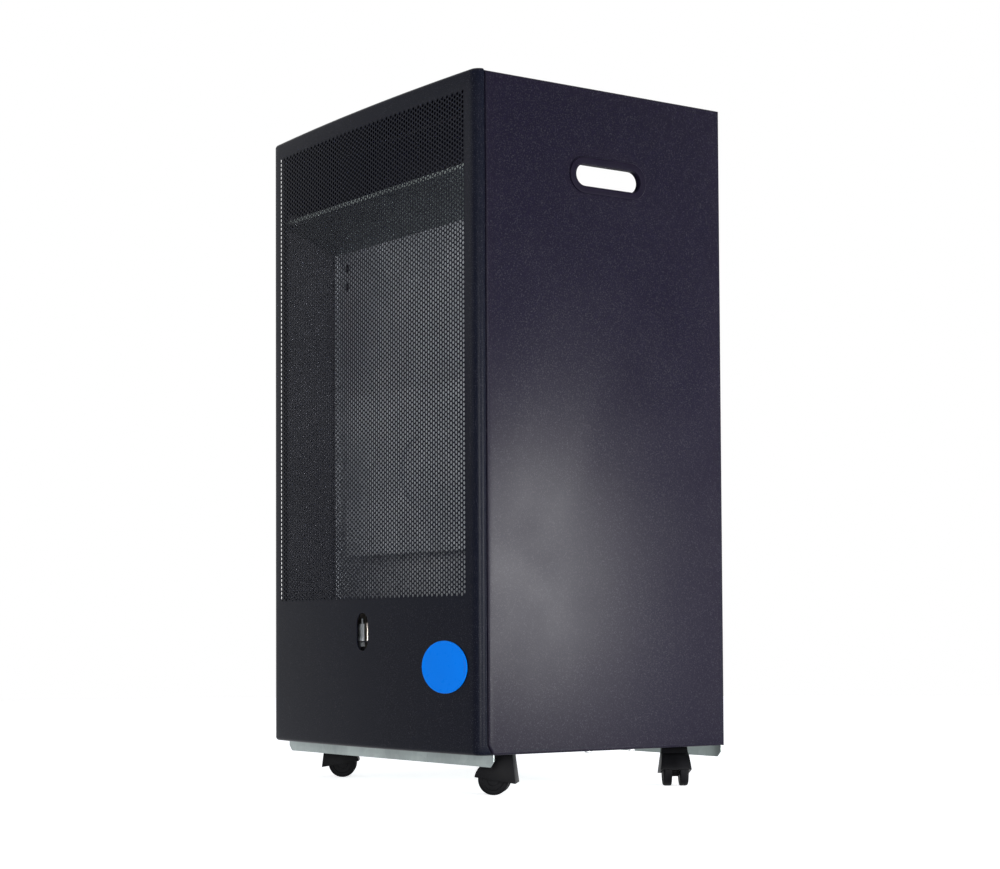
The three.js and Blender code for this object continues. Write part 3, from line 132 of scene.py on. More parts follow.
class ShaderTree(NodeTree):
    """A node material around its Principled shader."""

    MIX_COLOURS = (6, 7)  # the inputs of a Mix node that take colours
    MIXED_COLOUR = 2

    def __init__(self, name: str) -> None:
        """Starts the material."""
        self.material = bpy.data.materials.new(name)
        self.material.use_nodes = True
        super().__init__(self.material.node_tree)
        self.surface = self.tree.nodes["Principled BSDF"].inputs
        self.place = self.node("ShaderNodeTexCoord")["Object"]

    def noise(self, scale: float, detail: float = 2.0, stretch: Point3 | None = None) -> Socket:
        """Adds a noise texture.

        Args:
            scale: Features per metre.
            detail: Octaves of finer noise.
            stretch: Further scale for each axis, if the noise isn't the same in all directions.

        Returns:
            The noise's value socket.
        """
        place = self.place
        if stretch is not None:
            place = self.node("ShaderNodeMapping", {"Vector": place, "Scale": stretch})["Vector"]
        return self.node("ShaderNodeTexNoise", {"Vector": place, "Scale": scale, "Detail": detail})["Fac"]

    def spread(self, source: Socket, low: float, high: float, start: float = 0.3,
               end: float = 0.7) -> Socket:
        """Maps a value from start..end to low..high and returns the new socket."""
        return self.node("ShaderNodeMapRange", {
            "Value": source, "From Min": start, "From Max": end, "To Min": low, "To Max": high})["Result"]

    def blend(self, factor: Socket, *colours: Socket | Point3) -> Socket:
        """Mixes two colours.

        Args:
            factor: How much of the second colour shows.
            colours: The two colours, each given as a colour or as a socket.

        Returns:
            The mixed colour's socket.
        """
        inputs = {"Factor": factor}
        for number, colour in zip(self.MIX_COLOURS, colours):
            inputs[number] = colour if isinstance(colour, Socket) else (*colour, 1.0)
        return self.node("ShaderNodeMix", inputs, data_type="RGBA")[self.MIXED_COLOUR]

    def paint(self, colour: Socket, roughness: Socket) -> None:
        """Gives the shader its colour and its roughness."""
        self.feed(self.surface["Base Color"], colour)
        self.feed(self.surface["Roughness"], roughness)

    def bump(self, *layers: tuple[Socket, float]) -> None:
        """Raises the surface.

        Args:
            layers: Height sockets with their depths in metres, the lowest first.
        """
        below = {}
        for height, depth in layers:
            normal = self.node("ShaderNodeBump", {"Height": height, "Distance": depth, **below})["Normal"]
            below = {"Normal": normal}
        self.feed(self.surface["Normal"], normal)

    def set(self, **values: float) -> None:
        """Sets shader inputs that are the same all over, with _ for a space in their names."""
        for key, value in values.items():
            self.surface[key.replace("_", " ")].default_value = value


@dataclass(frozen=True)
class Finish:
    """The look of a material slot, whose colour gives way to a second one in places."""

    slot: str
    colour: Point3
    second: Point3

    def material(self) -> bpy.types.Material:
        """Returns the finish as a material."""
        tree = ShaderTree(self.slot)
        self.dress(tree)
        return tree.material

    def dress(self, tree: ShaderTree) -> None:
        """Leads the finish's patterns to the shader."""
        raise NotImplementedError


@dataclass(frozen=True)
class PowderCoat(Finish):
    """Dark powder coat with a fine texture, tiny bright flecks and a slow drift of its colour."""

    fleck: Point3 = (0.035, 0.034, 0.042)
    fleck_scale: float = 1000.0
    fleck_strength: float = 0.6
    fleck_range: Point2 = (0.56, 0.74)
    drift: float = 3.0
    roughness: float = 0.33
    wear: float = 0.03
    wear_scale: float = 14.0
    grain: float = 900.0
    depth: float = 0.00008
    gloss: float = 0.08

    def dress(self, tree: ShaderTree) -> None:
        """Leads the drift, the flecks, the wear and the grain to the shader."""
        base = tree.blend(tree.spread(tree.noise(self.drift), 0.0, 1.0), self.colour, self.second)
        flecks = tree.spread(tree.noise(self.fleck_scale, 1.0), 0.0, self.fleck_strength,
                             *self.fleck_range)
        wear = tree.noise(self.wear_scale, 4.0)
        tree.paint(tree.blend(flecks, base, self.fleck),
                   tree.spread(wear, self.roughness - self.wear, self.roughness + self.wear))
        tree.bump((tree.noise(self.grain), self.depth))
        tree.set(Specular_IOR_Level=self.gloss)


@dataclass(frozen=True)
class SheetMetal(Finish):
    """Bare or zinc-plated sheet with soft spangle, rolling streaks and a few dull patches."""

    roughness: float = 0.38
    metallic: float = 0.9
    spangle: float = 90.0
    spangle_strength: float = 0.25
    patches: float = 11.0
    streaks: Point3 = (900.0, 900.0, 40.0)
    dents: Point2 = (7.0, 0.0006)
    streak_depth: float = 0.00002

    def dress(self, tree: ShaderTree) -> None:
        """Leads the spangle, the patches, the streaks and the dents to the shader."""
        crystal = tree.node("ShaderNodeTexVoronoi", {"Vector": tree.place, "Scale": self.spangle})
        shade = tree.node("ShaderNodeSeparateColor", {"Color": crystal["Color"]})["Red"]
        patch = tree.spread(tree.noise(self.patches, 5.0), 0.0, 1.0, 0.35)
        mixed = tree.math("MULTIPLY_ADD", shade, self.spangle_strength, patch)
        streaks = tree.noise(1.0, 3.0, self.streaks)
        tree.paint(tree.blend(mixed, self.colour, self.second),
                   tree.spread(streaks, self.roughness - 0.07, self.roughness + 0.09))
        scale, depth = self.dents
        tree.bump((tree.noise(scale, 1.0), depth), (streaks, self.streak_depth))
        tree.set(Metallic=self.metallic)


@dataclass(frozen=True)
class Moulded(Finish):
    """Moulded plastic or rubber with a fine spark-eroded grain."""

    roughness: float = 0.5
    worn: float = 0.1
    handling: float = 45.0
    grain: float = 1100.0
    depth: float = 0.00004
    gloss: float = 0.08

    def dress(self, tree: ShaderTree) -> None:
        """Leads the handled patches and the grain to the shader."""
        handled = tree.spread(tree.noise(self.handling, 4.0), 0.0, 1.0, 0.4, 0.75)
        tree.paint(tree.blend(handled, self.colour, self.second),
                   tree.spread(handled, self.roughness, self.roughness + self.worn, 0.0, 1.0))
        tree.bump((tree.noise(self.grain, 1.0), self.depth))
        tree.set(Specular_IOR_Level=self.gloss)


@dataclass(frozen=True)
class Turned(Finish):
    """Turned or drawn metal with fine tool marks and a little tarnish."""

    roughness: float = 0.28
    stain: float = 60.0
    marks: Point3 = (300.0, 300.0, 2600.0)
    depth: float = 0.00001

    def dress(self, tree: ShaderTree) -> None:
        """Leads the tarnish and the tool marks to the shader."""
        stain = tree.spread(tree.noise(self.stain, 4.0), 0.0, 0.8, 0.45, 0.8)
        lines = tree.noise(1.0, 2.0, self.marks)
        tree.paint(tree.blend(stain, self.colour, self.second),
                   tree.spread(lines, self.roughness - 0.06, self.roughness + 0.12))
        tree.bump((lines, self.depth))
        tree.set(Metallic=1.0)


@dataclass(frozen=True)
class Glazed(Finish):
    """Glossy enamel or glaze with a faint ripple."""

    roughness: float = 0.22
    gloss: float = 0.5
    coat: float = 0.3
    drift: float = 30.0
    smears: float = 200.0
    ripple: Point2 = (120.0, 0.00003)

    def dress(self, tree: ShaderTree) -> None:
        """Leads the drift, the smears and the ripple to the shader."""
        drift = tree.spread(tree.noise(self.drift), 0.0, 0.35)
        smears = tree.noise(self.smears, 3.0)
        tree.paint(tree.blend(drift, self.colour, self.second),
                   tree.spread(smears, self.roughness - 0.04, self.roughness + 0.06))
        scale, depth = self.ripple
        tree.bump((tree.noise(scale, 1.0), depth))
        tree.set(Coat_Weight=self.coat, Specular_IOR_Level=self.gloss)


FINISHES = (
    PowderCoat("powder_coat", (0.0032, 0.0022, 0.0082), (0.0028, 0.0020, 0.0070)),
    PowderCoat("front_coat", (0.0020, 0.0029, 0.0072), (0.0018, 0.0025, 0.0062), roughness=0.30,
               depth=0.00003, gloss=0.045),
    Moulded("grommet_plastic", (0.0035, 0.0025, 0.0075), (0.005, 0.004, 0.009), gloss=0.05),
    Glazed("badge", (0.0005, 0.155, 0.66), (0.0005, 0.14, 0.62), roughness=0.3, gloss=0.03, coat=0.0),
    SheetMetal("zinc_tray", (0.34, 0.385, 0.375), (0.21, 0.24, 0.235)),
    Turned("brass", (0.72, 0.52, 0.22), (0.40, 0.27, 0.12)),
    Turned("steel_pin", (0.55, 0.55, 0.56), (0.35, 0.35, 0.36)),
    Moulded("control_plastic", (0.012, 0.012, 0.013), (0.022, 0.022, 0.023), roughness=0.42),
    SheetMetal("dark_steel", (0.17, 0.17, 0.19), (0.11, 0.11, 0.125), roughness=0.5, metallic=0.4),
    SheetMetal("galvanised", (0.56, 0.58, 0.61), (0.40, 0.42, 0.45), roughness=0.45, metallic=0.3),
    Turned("screw_steel", (0.62, 0.63, 0.64), (0.42, 0.42, 0.42), roughness=0.32),
    SheetMetal("burner_steel", (0.50, 0.48, 0.45), (0.30, 0.26, 0.22), roughness=0.34, metallic=0.95,
               spangle=40.0),
    Glazed("ceramic", (0.80, 0.84, 0.87), (0.66, 0.71, 0.76)),
    Turned("copper", (0.72, 0.36, 0.22), (0.34, 0.17, 0.11)),
    Moulded("lead_sleeve", (0.016, 0.016, 0.017), (0.026, 0.026, 0.027), roughness=0.6),
    Moulded("castor_plastic", (0.003, 0.003, 0.0035), (0.006, 0.006, 0.007), roughness=0.38, gloss=0.03),
    Moulded("wheel_plastic", (0.003, 0.003, 0.0035), (0.008, 0.008, 0.009), roughness=0.45, gloss=0.03),
)
MATERIALS = {finish.slot: finish.material() for finish in FINISHES}


# ------------------------------------------------------------------ mesh helpers


def hand_over(piece: Piece, slot: str, *nodes: str, body: str = "cabinet") -> None:
    """Lets a finished piece ride on its body and stand for the nodes that it replaces.

    Args:
        piece: The finished object.
        slot: The record's material slot; not used.
        nodes: CAD nodes that it stands for.
        body: The body that it moves with.
    """
    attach(piece, body)
    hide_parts(*nodes)
    LOG.info("%s: %d faces on %s", piece.name, len(piece.data.polygons), body)


def in_scene(name: str, data: bpy.types.ID) -> Piece:
    """Makes an object of this data and links it to the scene."""
    made = bpy.data.objects.new(name, data)
    bpy.context.scene.collection.objects.link(made)
    return made


def new_piece(name: str, slot: str, points: Iterable[Sequence[float]],
              faces: Iterable[Sequence[int]] = ()) -> Piece:
    """Makes a mesh object with the finish of a slot.

    Args:
        name: The object's name.
        slot: The record's material slot.
        points: Vertex places in metres.
        faces: Corner indices of each face.

    Returns:
        The new object.
    """
    mesh = bpy.data.meshes.new(name)
    mesh.from_pydata([tuple(p) for p in points], [], [tuple(f) for f in faces])
    mesh.materials.append(MATERIALS[slot])
    return in_scene(name, mesh)


def middle(node: str) -> Vector:
    """The middle of a CAD node's box."""
    low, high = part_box(node)
    return (low + high) / 2


def settle(piece: Piece, crease: float = CREASE, recalculate: bool = False) -> None:
    """Applies a piece's modifiers, welds its seams and smooths all but its sharp edges.

    Args:
        piece: The object to finish.
        crease: Edges that bend by more degrees than this stay sharp.
        recalculate: Whether the faces are turned outwards.
    """
    result = bpy.data.meshes.new_from_object(
        piece.evaluated_get(bpy.context.evaluated_depsgraph_get()))
    piece.modifiers.clear()
    old = piece.data
    piece.data = result
    result.name = old.name
    bpy.data.meshes.remove(old)
    shape = bmesh.new()
    shape.from_mesh(result)
    bmesh.ops.remove_doubles(shape, verts=shape.verts, dist=WELD)
    if recalculate:
        bmesh.ops.recalc_face_normals(shape, faces=shape.faces)
    shape.to_mesh(result)
    shape.free()
    result.shade_smooth()
    result.set_sharp_from_angle(angle=math.radians(crease))


def bevelled(piece: Piece, width: float, segments: int = 2, angle: float = 35.0) -> None:
    """Adds a bevel.

    Args:
        piece: The object to bevel.
        width: Width of the bevel.
        segments: Faces across it.
        angle: Only edges that bend by more degrees than this get one.
    """
    bevel = piece.modifiers.new("bevel", "BEVEL")
    bevel.width = width
    bevel.segments = segments
    bevel.limit_method = "ANGLE"
    bevel.angle_limit = math.radians(angle)
    bevel.use_clamp_overlap = True


def thicken(piece: Piece, thickness: float, even: bool = True) -> None:
    """Gives an open sheet a wall on its inner side.

    Args:
        piece: The sheet.
        thickness: How thick the wall is.
        even: Whether the wall keeps its thickness round sharp corners.
    """
    wall = piece.modifiers.new("sheet", "SOLIDIFY")
    wall.thickness = thickness
    wall.offset = -1.0
    wall.use_even_offset = even
    settle(piece)


def cut_away(piece: Piece, tool: Piece, crease: float = CREASE) -> None:
    """Cuts a closed tool out of a closed piece and deletes the tool.

    Args:
        piece: The object to cut.
        tool: What is cut out of it.
        crease: Edges that bend by more degrees than this stay sharp.
    """
    boolean = piece.modifiers.new("cut", "BOOLEAN")
    boolean.operation = "DIFFERENCE"
    boolean.solver = "EXACT"
    boolean.object = tool
    settle(piece, crease)
    bpy.data.objects.remove(tool)


def ring_faces(rows: int, count: int, closed: bool = False) -> list[list[int]]:
    """Quads between closed rows of points that lie one after another.

    Args:
        rows: Number of rows.
        count: Points in each row.
        closed: Whether the last row joins the first.

    Returns:
        The corner indices of the quads.
    """
    faces = []
    for i in range(rows if closed else rows - 1):
        a, b = i * count, (i + 1) % rows * count
        for j in range(count):
            k = (j + 1) % count
            faces.append([a + j, a + k, b + k, b + j])
    return faces


def arc(centre: Point2, radius: float, start: float, end: float, pieces: int) -> list[Point2]:
    """Points on an arc, both ends included, with its angles in degrees."""
    angles = (math.radians(start + (end - start) * i / pieces) for i in range(pieces + 1))
    return [(centre[0] + radius * math.cos(a), centre[1] + radius * math.sin(a)) for a in angles]


def stadium(length: float, height: float, pieces: int = 14) -> list[tuple[Point2, Point2]]:
    """A slot's outline as (point, outward normal) pairs, longer along its first axis.

    Args:
        length: Overall length.
        height: Overall height.
        pieces: Straight pieces in each round end.

    Returns:
        The pairs, anticlockwise.
    """
    radius = height / 2
    reach = length / 2 - radius
    pairs = []
    for centre, start in (((reach, 0.0), -90.0), ((-reach, 0.0), 90.0)):
        normals = arc((0.0, 0.0), 1.0, start, start + 180.0, pieces)
        pairs += [((centre[0] + radius * n[0], centre[1] + radius * n[1]), n) for n in normals]
    return pairs


def prism(name: str, slot: str, outline: Sequence[Point2], place: Callable[[float, float, float], Vector],
          low: float, high: float) -> Piece:
    """A straight piece with a flat outline.

    Args:
        name: The object's name.
        slot: The record's material slot.
        outline: Points of the outline.
        place: Turns (first, second, height) into a place.
        low: Height of one end.
        high: Height of the other.

    Returns:
        The closed piece, its faces turned outwards.
    """
    count = len(outline)
    points = [place(a, b, h) for h in (low, high) for a, b in outline]
    faces = ring_faces(2, count) + [list(range(count))[::-1], list(range(count, 2 * count))]
    piece = new_piece(name, slot, points, faces)
    settle(piece, recalculate=True)
    return piece


def lathe(name: str, slot: str, profile: Sequence[Point2], foot: Vector, axis: Vector,
          segments: int) -> Piece:
    """A turned piece.

    Args:
        name: The object's name.
        slot: The record's material slot.
        profile: Points (radius, height); it starts and ends on the axis, or is closed if it doesn't.
        foot: The point of the axis at height 0.
        axis: Direction of the axis.
        segments: Faces around the axis.

    Returns:
        The closed piece, its faces turned outwards.
    """
    turn = UP.rotation_difference(axis.normalized()).to_matrix()
    points, rows = [], []
    for radius, height in profile:
        if radius < 1e-7:
            rows.append([len(points)])
            points.append(foot + turn @ (UP * height))
            continue
        rows.append(list(range(len(points), len(points) + segments)))
        for i in range(segments):
            a = 2 * math.pi * i / segments
            points.append(foot + turn @ Vector((radius * math.cos(a), radius * math.sin(a), height)))
    closes = len(rows[0]) > 1 and len(rows[-1]) > 1
    faces = []
    for low, high in zip(rows, rows[1:] + rows[:1] if closes else rows[1:]):
        for i in range(segments):
            k = (i + 1) % segments
            corners = [low[i % len(low)], low[k % len(low)], high[k % len(high)], high[i % len(high)]]
            faces.append(list(dict.fromkeys(corners)))
    piece = new_piece(name, slot, points, faces)
    settle(piece, recalculate=True)
    return piece


def node_copy(node: str, slot: str, bevel: float = 0.0, segments: int = 2,
              crease: float = CREASE) -> Piece:
    """A copy of a CAD node with its seams welded and its edges softened.

    Args:
        node: The node's name.
        slot: The record's material slot.
        bevel: Width of the softened edges.
        segments: Faces across a softened edge.
        crease: Edges that bend by more degrees than this stay sharp.

    Returns:
        The new object, named after the node.
    """
    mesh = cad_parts[node].data.copy()
    mesh.name = node + "_shape"
    mesh.materials.clear()
    mesh.materials.append(MATERIALS[slot])
    piece = in_scene(node + "_shape", mesh)
    shape = bmesh.new()
    shape.from_mesh(mesh)
    bmesh.ops.remove_doubles(shape, verts=shape.verts, dist=SEAM)
    bmesh.ops.dissolve_limit(shape, angle_limit=FLAT, verts=shape.verts, edges=shape.edges)
    shape.to_mesh(mesh)
    shape.free()
    if bevel:
        bevelled(piece, bevel, segments)
    settle(piece, crease)
    return piece


def carry_over(node: str, slot: str, body: str = "cabinet", **edges: float) -> None:
    """Hands over a copy of a CAD node, with its edges as node_copy takes them."""
    hand_over(node_copy(node, slot, **edges), slot, node, body=body)


class GeometryTree(NodeTree):
    """A Geometry Nodes tree with named inputs for its sizes."""

    def __init__(self, name: str, inputs: dict[str, str]) -> None:
        """Starts the tree with its named inputs, given as name to kind, and one for the material."""
        super().__init__(bpy.data.node_groups.new(name, "GeometryNodeTree"))
        self.identifiers = {}
        for label, kind in {"Geometry": "Geometry", **inputs, "Material": "Material"}.items():
            made = self.tree.interface.new_socket(label, in_out="INPUT", socket_type="NodeSocket" + kind)
            self.identifiers[label] = made.identifier
        self.tree.interface.new_socket("Geometry", in_out="OUTPUT", socket_type="NodeSocketGeometry")
        self.start = self.node("NodeGroupInput")

    def position(self) -> tuple[Socket, ...]:
        """The X, Y and Z of each point."""
        place = self.node("GeometryNodeInputPosition")["Position"]
        return tuple(self.node("ShaderNodeSeparateXYZ", {"Vector": place}))

    def placed(self, points: Socket, **place: Socket) -> Socket:
        """Moves points to a new X, Y and Z, 0 if not given, and returns their socket."""
        vector = self.node("ShaderNodeCombineXYZ", place)["Vector"]
        return self.node("GeometryNodeSetPosition", {"Geometry": points, "Position": vector})["Geometry"]

    def copies(self, points: Socket, part: str, turn: Socket | None = None) -> Socket:
        """Sets a copy of an object on each point and makes the copies real.

        Args:
            points: Where the copies go.
            part: Name of the tree's input that holds the object.
            turn: Angles of each copy, or None where it stays unturned.

        Returns:
            The socket of the copies.
        """
        shape = self.node("GeometryNodeObjectInfo", {"Object": self.start[part]})["Geometry"]
        links = {"Points": points, "Instance": shape}
        if turn is not None:
            links["Rotation"] = turn
        placed = self.node("GeometryNodeInstanceOnPoints", links)["Instances"]
        return self.node("GeometryNodeRealizeInstances", {"Geometry": placed})["Geometry"]

    def finish(self, geometry: Socket) -> None:
        """Gives the geometry its material and leads it to the output."""
        dressed = self.node("GeometryNodeSetMaterial",
                            {"Geometry": geometry, "Material": self.start["Material"]})
        self.node("NodeGroupOutput", {"Geometry": dressed["Geometry"]})

    def grow(self, name: str, slot: str, values: dict[str, object],
             points: Iterable[Point3] = ((0.0, 0.0, 0.0),)) -> Piece:
        """Makes a piece out of the tree.

        Args:
            name: The piece's name.
            slot: The record's material slot.
            values: What the tree's inputs are set to.
            points: The mesh that the tree starts from.

        Returns:
            The piece as a plain mesh.
        """
        piece = new_piece(name, slot, points)
        modifier = piece.modifiers.new(self.tree.name, "NODES")
        modifier.node_group = self.tree
        for label, value in {**values, "Material": MATERIALS[slot]}.items():
            modifier[self.identifiers[label]] = value
        settle(piece)
        return piece


# ------------------------------------------------------------------ bowed front


@dataclass
class BowedFront:
    """The deep-drawn front panel with its field of round holes and its window."""

    edge_fillet: float = 4.0 * MM
    corner_radius: float = 12.0 * MM
    bow: float = 6.5 * MM
    sheet: float = 1.2 * MM
    field_sheet: float = 0.45 * MM
    hole_radius: float = 1.8 * MM
    pitch: float = 5.0 * MM
    columns: int = 89
    rows: int = 103
    bands: int = 3
    weld: float = 0.02 * MM
    field_bottom: float = 203.1 * MM
    window: Point2 = (41.0 * MM, 23.0 * MM)
    window_height: float = 168.0 * MM
    window_bevel: float = 0.25 * MM
    cut_reach: float = 10.0 * MM
    seam_gap: float = 1.6 * MM
    flange_gap: float = 0.3 * MM
    corner_pieces: int = 8
    fillet_pieces: int = 5

    def __post_init__(self) -> None:
        """Reads the panel's reach from the frame and works out the bow and its corners."""
        low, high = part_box("front_panel")
        self.half, self.bottom, self.top, self.crest = high.x, low.z, high.z, low.y
        self.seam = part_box("side_panel_right")[0].y - self.seam_gap
        self.corner = Vector((self.half - self.corner_radius, self.crest + self.bow + self.corner_radius))
        self.radius = (self.corner.x ** 2 + self.bow ** 2) / (2 * self.bow) + self.corner_radius
        self.centre = self.crest + self.radius
        self.column_pitch = self.pitch * math.sqrt(3) / 2
        self.field_top = self.field_bottom + (self.rows + 0.5) * self.pitch

    def face(self, x: float) -> float:
        """The outer face's Y at a distance from mid width."""
        return self.centre - math.sqrt(self.radius ** 2 - x ** 2)

    def build(self) -> None:
        """Builds the pan, cuts its window and adds the perforated field."""
        pan = self.pan()
        slot = [point for point, _ in stadium(*self.window)]
        tool = prism("window_tool", "front_coat", slot,
                     lambda a, b, h: Vector((b, h, a + self.window_height)),
                     self.crest - self.cut_reach, self.crest + self.cut_reach)
        cut_away(pan, tool)
        bevelled(pan, self.window_bevel, 1, 60.0)
        settle(pan)
        hand_over(pan, "front_coat", "front_panel")
        self.field()

    def plan(self) -> list[tuple[Vector, Vector]]:
        """Works out the panel's plan.

        Returns:
            Points with outward normals, from its left end to its right end.
        """
        last = math.asin(self.corner.x / (self.radius - self.corner_radius))
        lines = [(k - self.columns / 2) * self.column_pitch / self.radius for k in range(self.columns + 1)]
        bow = [Vector((math.sin(a), -math.cos(a))) for a in (-last, *lines, last)]
        bowed = [(n * self.radius + Vector((0.0, self.centre)), n) for n in bow]
        end = math.acos((self.corner.y - self.seam) / self.corner_radius)
        step = (end - last) / self.corner_pieces
        bends = [last + step * (i + 1) for i in range(self.corner_pieces)]
        corner = [Vector((math.sin(a), -math.cos(a))) for a in bends]
        right = [(self.corner + n * self.corner_radius, n) for n in corner]
        mirror = Vector((-1.0, 1.0))
        left = [(point * mirror, normal * mirror) for point, normal in reversed(right)]
        return left + bowed + right

    def back(self, height: float) -> float:
        """The Y of the panel's rear edge, which follows the side panels' cut-off corners."""
        rise = (self.bottom + CHAMFER[1] - height) / CHAMFER[1]
        return self.seam + CHAMFER[0] * min(max(rise, 0.0), 1.0)

    def pan(self) -> Piece:
        """Builds the plain sheet around the field.

        Returns:
            The sheet with its rounded edges and folded returns.
        """
        plan = self.plan()
        quarter = arc((0.0, 0.0), self.edge_fillet, 90.0, 0.0, self.fillet_pieces)
        half_pitch = self.pitch / 2
        levels = [(self.bottom + self.edge_fillet - b, self.edge_fillet - a) for a, b in quarter]
        levels.append((self.bottom + CHAMFER[1], 0.0))
        field = len(levels) + 1
        levels += [(height, 0.0) for height in (
            self.field_bottom, self.field_bottom + half_pitch,
            self.field_top - half_pitch, self.field_top)]
        levels += [(self.top - self.edge_fillet + b, self.edge_fillet - a) for a, b in reversed(quarter)]
        ends = (0, len(plan) - 1)
        rows = []
        for height, inset in levels:
            row = [point - normal * inset for point, normal in plan]
            rows.append([Vector((p.x, self.back(height) if i in ends else p.y, height))
                         for i, p in enumerate(row)])
        reach = self.seam_gap - self.flange_gap
        inner = range(self.corner_pieces, len(plan) - self.corner_pieces)
        for edge in (0, -1):
            flange = [Vector((p.x, self.back(p.z) + (reach if i in inner else 0.0), p.z))
                      for i, p in enumerate(rows[edge])]
            rows.insert(0 if edge == 0 else len(rows), flange)
        count = len(plan)
        first = len(plan) // 2 - self.columns // 2 - 1
        faces = []
        for k in range(len(rows) - 1):
            for i in range(count - 1):
                column = i - first
                raised = column % 2 == 0
                if 0 <= column < self.columns and (
                        k == field + 1 or k == (field + 2 if raised else field)):
                    continue
                a, b = k * count + i, (k + 1) * count + i
                faces.append([a, a + 1, b + 1, b])
        pan = new_piece("front_pan", "front_coat", [p for row in rows for p in row], faces)
        settle(pan)
        thicken(pan, self.sheet)
        return pan

    def cell(self) -> Piece:
        """Builds one tile of the field, facing -Y.

        Returns:
            A plate the size of one pitch with an eight-sided hole.
        """
        half_width, half_height = self.column_pitch / 2, self.pitch / 2
        outer = [(half_width, 0.0), (half_width, half_height), (-half_width, half_height),
                 (-half_width, 0.0), (-half_width, -half_height), (half_width, -half_height)]
        same_area = math.sqrt(math.pi / (2 * math.sqrt(2)))
        inner = arc((0.0, 0.0), self.hole_radius * same_area, 0.0, 315.0, 7)
        points = [(x, 0.0, z) for x, z in outer + inner]
        hole = list(range(6, 14))
        faces = [(0, 1, hole[1], hole[0]), (1, hole[2], hole[1]), (1, 2, hole[2]), (2, hole[3], hole[2]),
                 (2, 3, hole[4], hole[3]), (3, 4, hole[5], hole[4]), (4, hole[6], hole[5]),
                 (4, 5, hole[6]), (5, hole[7], hole[6]), (5, 0, hole[0], hole[7])]
        return new_piece("cell", "front_coat", points, faces)

    def field_tree(self) -> GeometryTree:
        """Builds the field's tree.

        Returns:
            A tree that tiles cells in staggered columns, welds them and bends them onto the bow.
        """
        tree = GeometryTree("perforated_field", {
            "Cell": "Object", "Columns": "Int", "Rows": "Int", "Column Pitch": "Float",
            "Row Pitch": "Float", "First Row": "Float", "Bow Radius": "Float", "Bow Centre": "Float",
            "Weld": "Float"})
        start = tree.start
        plus, minus, times, over = (
            partial(tree.math, name) for name in ("ADD", "SUBTRACT", "MULTIPLY", "DIVIDE"))
        across = times(minus(start["Columns"], 1.0), start["Column Pitch"])
        up = times(minus(start["Rows"], 1.0), start["Row Pitch"])
        grid = tree.node("GeometryNodeMeshGrid", {
            "Size X": across, "Size Y": up, "Vertices X": start["Columns"], "Vertices Y": start["Rows"]})
        x, y, _ = tree.position()
        column = tree.math("ROUND", over(plus(x, times(across, 0.5)), start["Column Pitch"]))
        shift = times(minus(2.0, tree.math("MODULO", column, 2.0)), times(start["Row Pitch"], 0.5))
        rise = plus(plus(y, times(up, 0.5)), plus(shift, start["First Row"]))
        flat = tree.copies(tree.placed(grid["Mesh"], X=x, Z=rise), "Cell")
        welded = tree.node("GeometryNodeMergeByDistance", {"Geometry": flat, "Distance": start["Weld"]})
        x, _, z = tree.position()
        angle = over(x, start["Bow Radius"])
        depth = times(tree.math("COSINE", angle), start["Bow Radius"])
        tree.finish(tree.placed(
            welded["Geometry"], X=times(tree.math("SINE", angle), start["Bow Radius"]),
            Y=minus(start["Bow Centre"], depth), Z=z))
        return tree

    def field(self) -> None:
        """Builds the perforated field in bands, each a closed sheet with its holes."""
        tree = self.field_tree()
        cell = self.cell()
        first = 0
        for band in range(self.bands):
            rows = (self.rows - first) // (self.bands - band)
            piece = tree.grow(f"front_field_{band + 1}", "front_coat", {
                "Cell": cell, "Columns": self.columns, "Rows": rows, "Column Pitch": self.column_pitch,
                "Row Pitch": self.pitch, "First Row": self.field_bottom + first * self.pitch,
                "Bow Radius": self.radius, "Bow Centre": self.centre, "Weld": self.weld})
            thicken(piece, self.field_sheet, even=False)
            hand_over(piece, "front_coat", "front_panel")
            first += rows
        bpy.data.objects.remove(cell)


# ------------------------------------------------------------------ side panels and hand holes


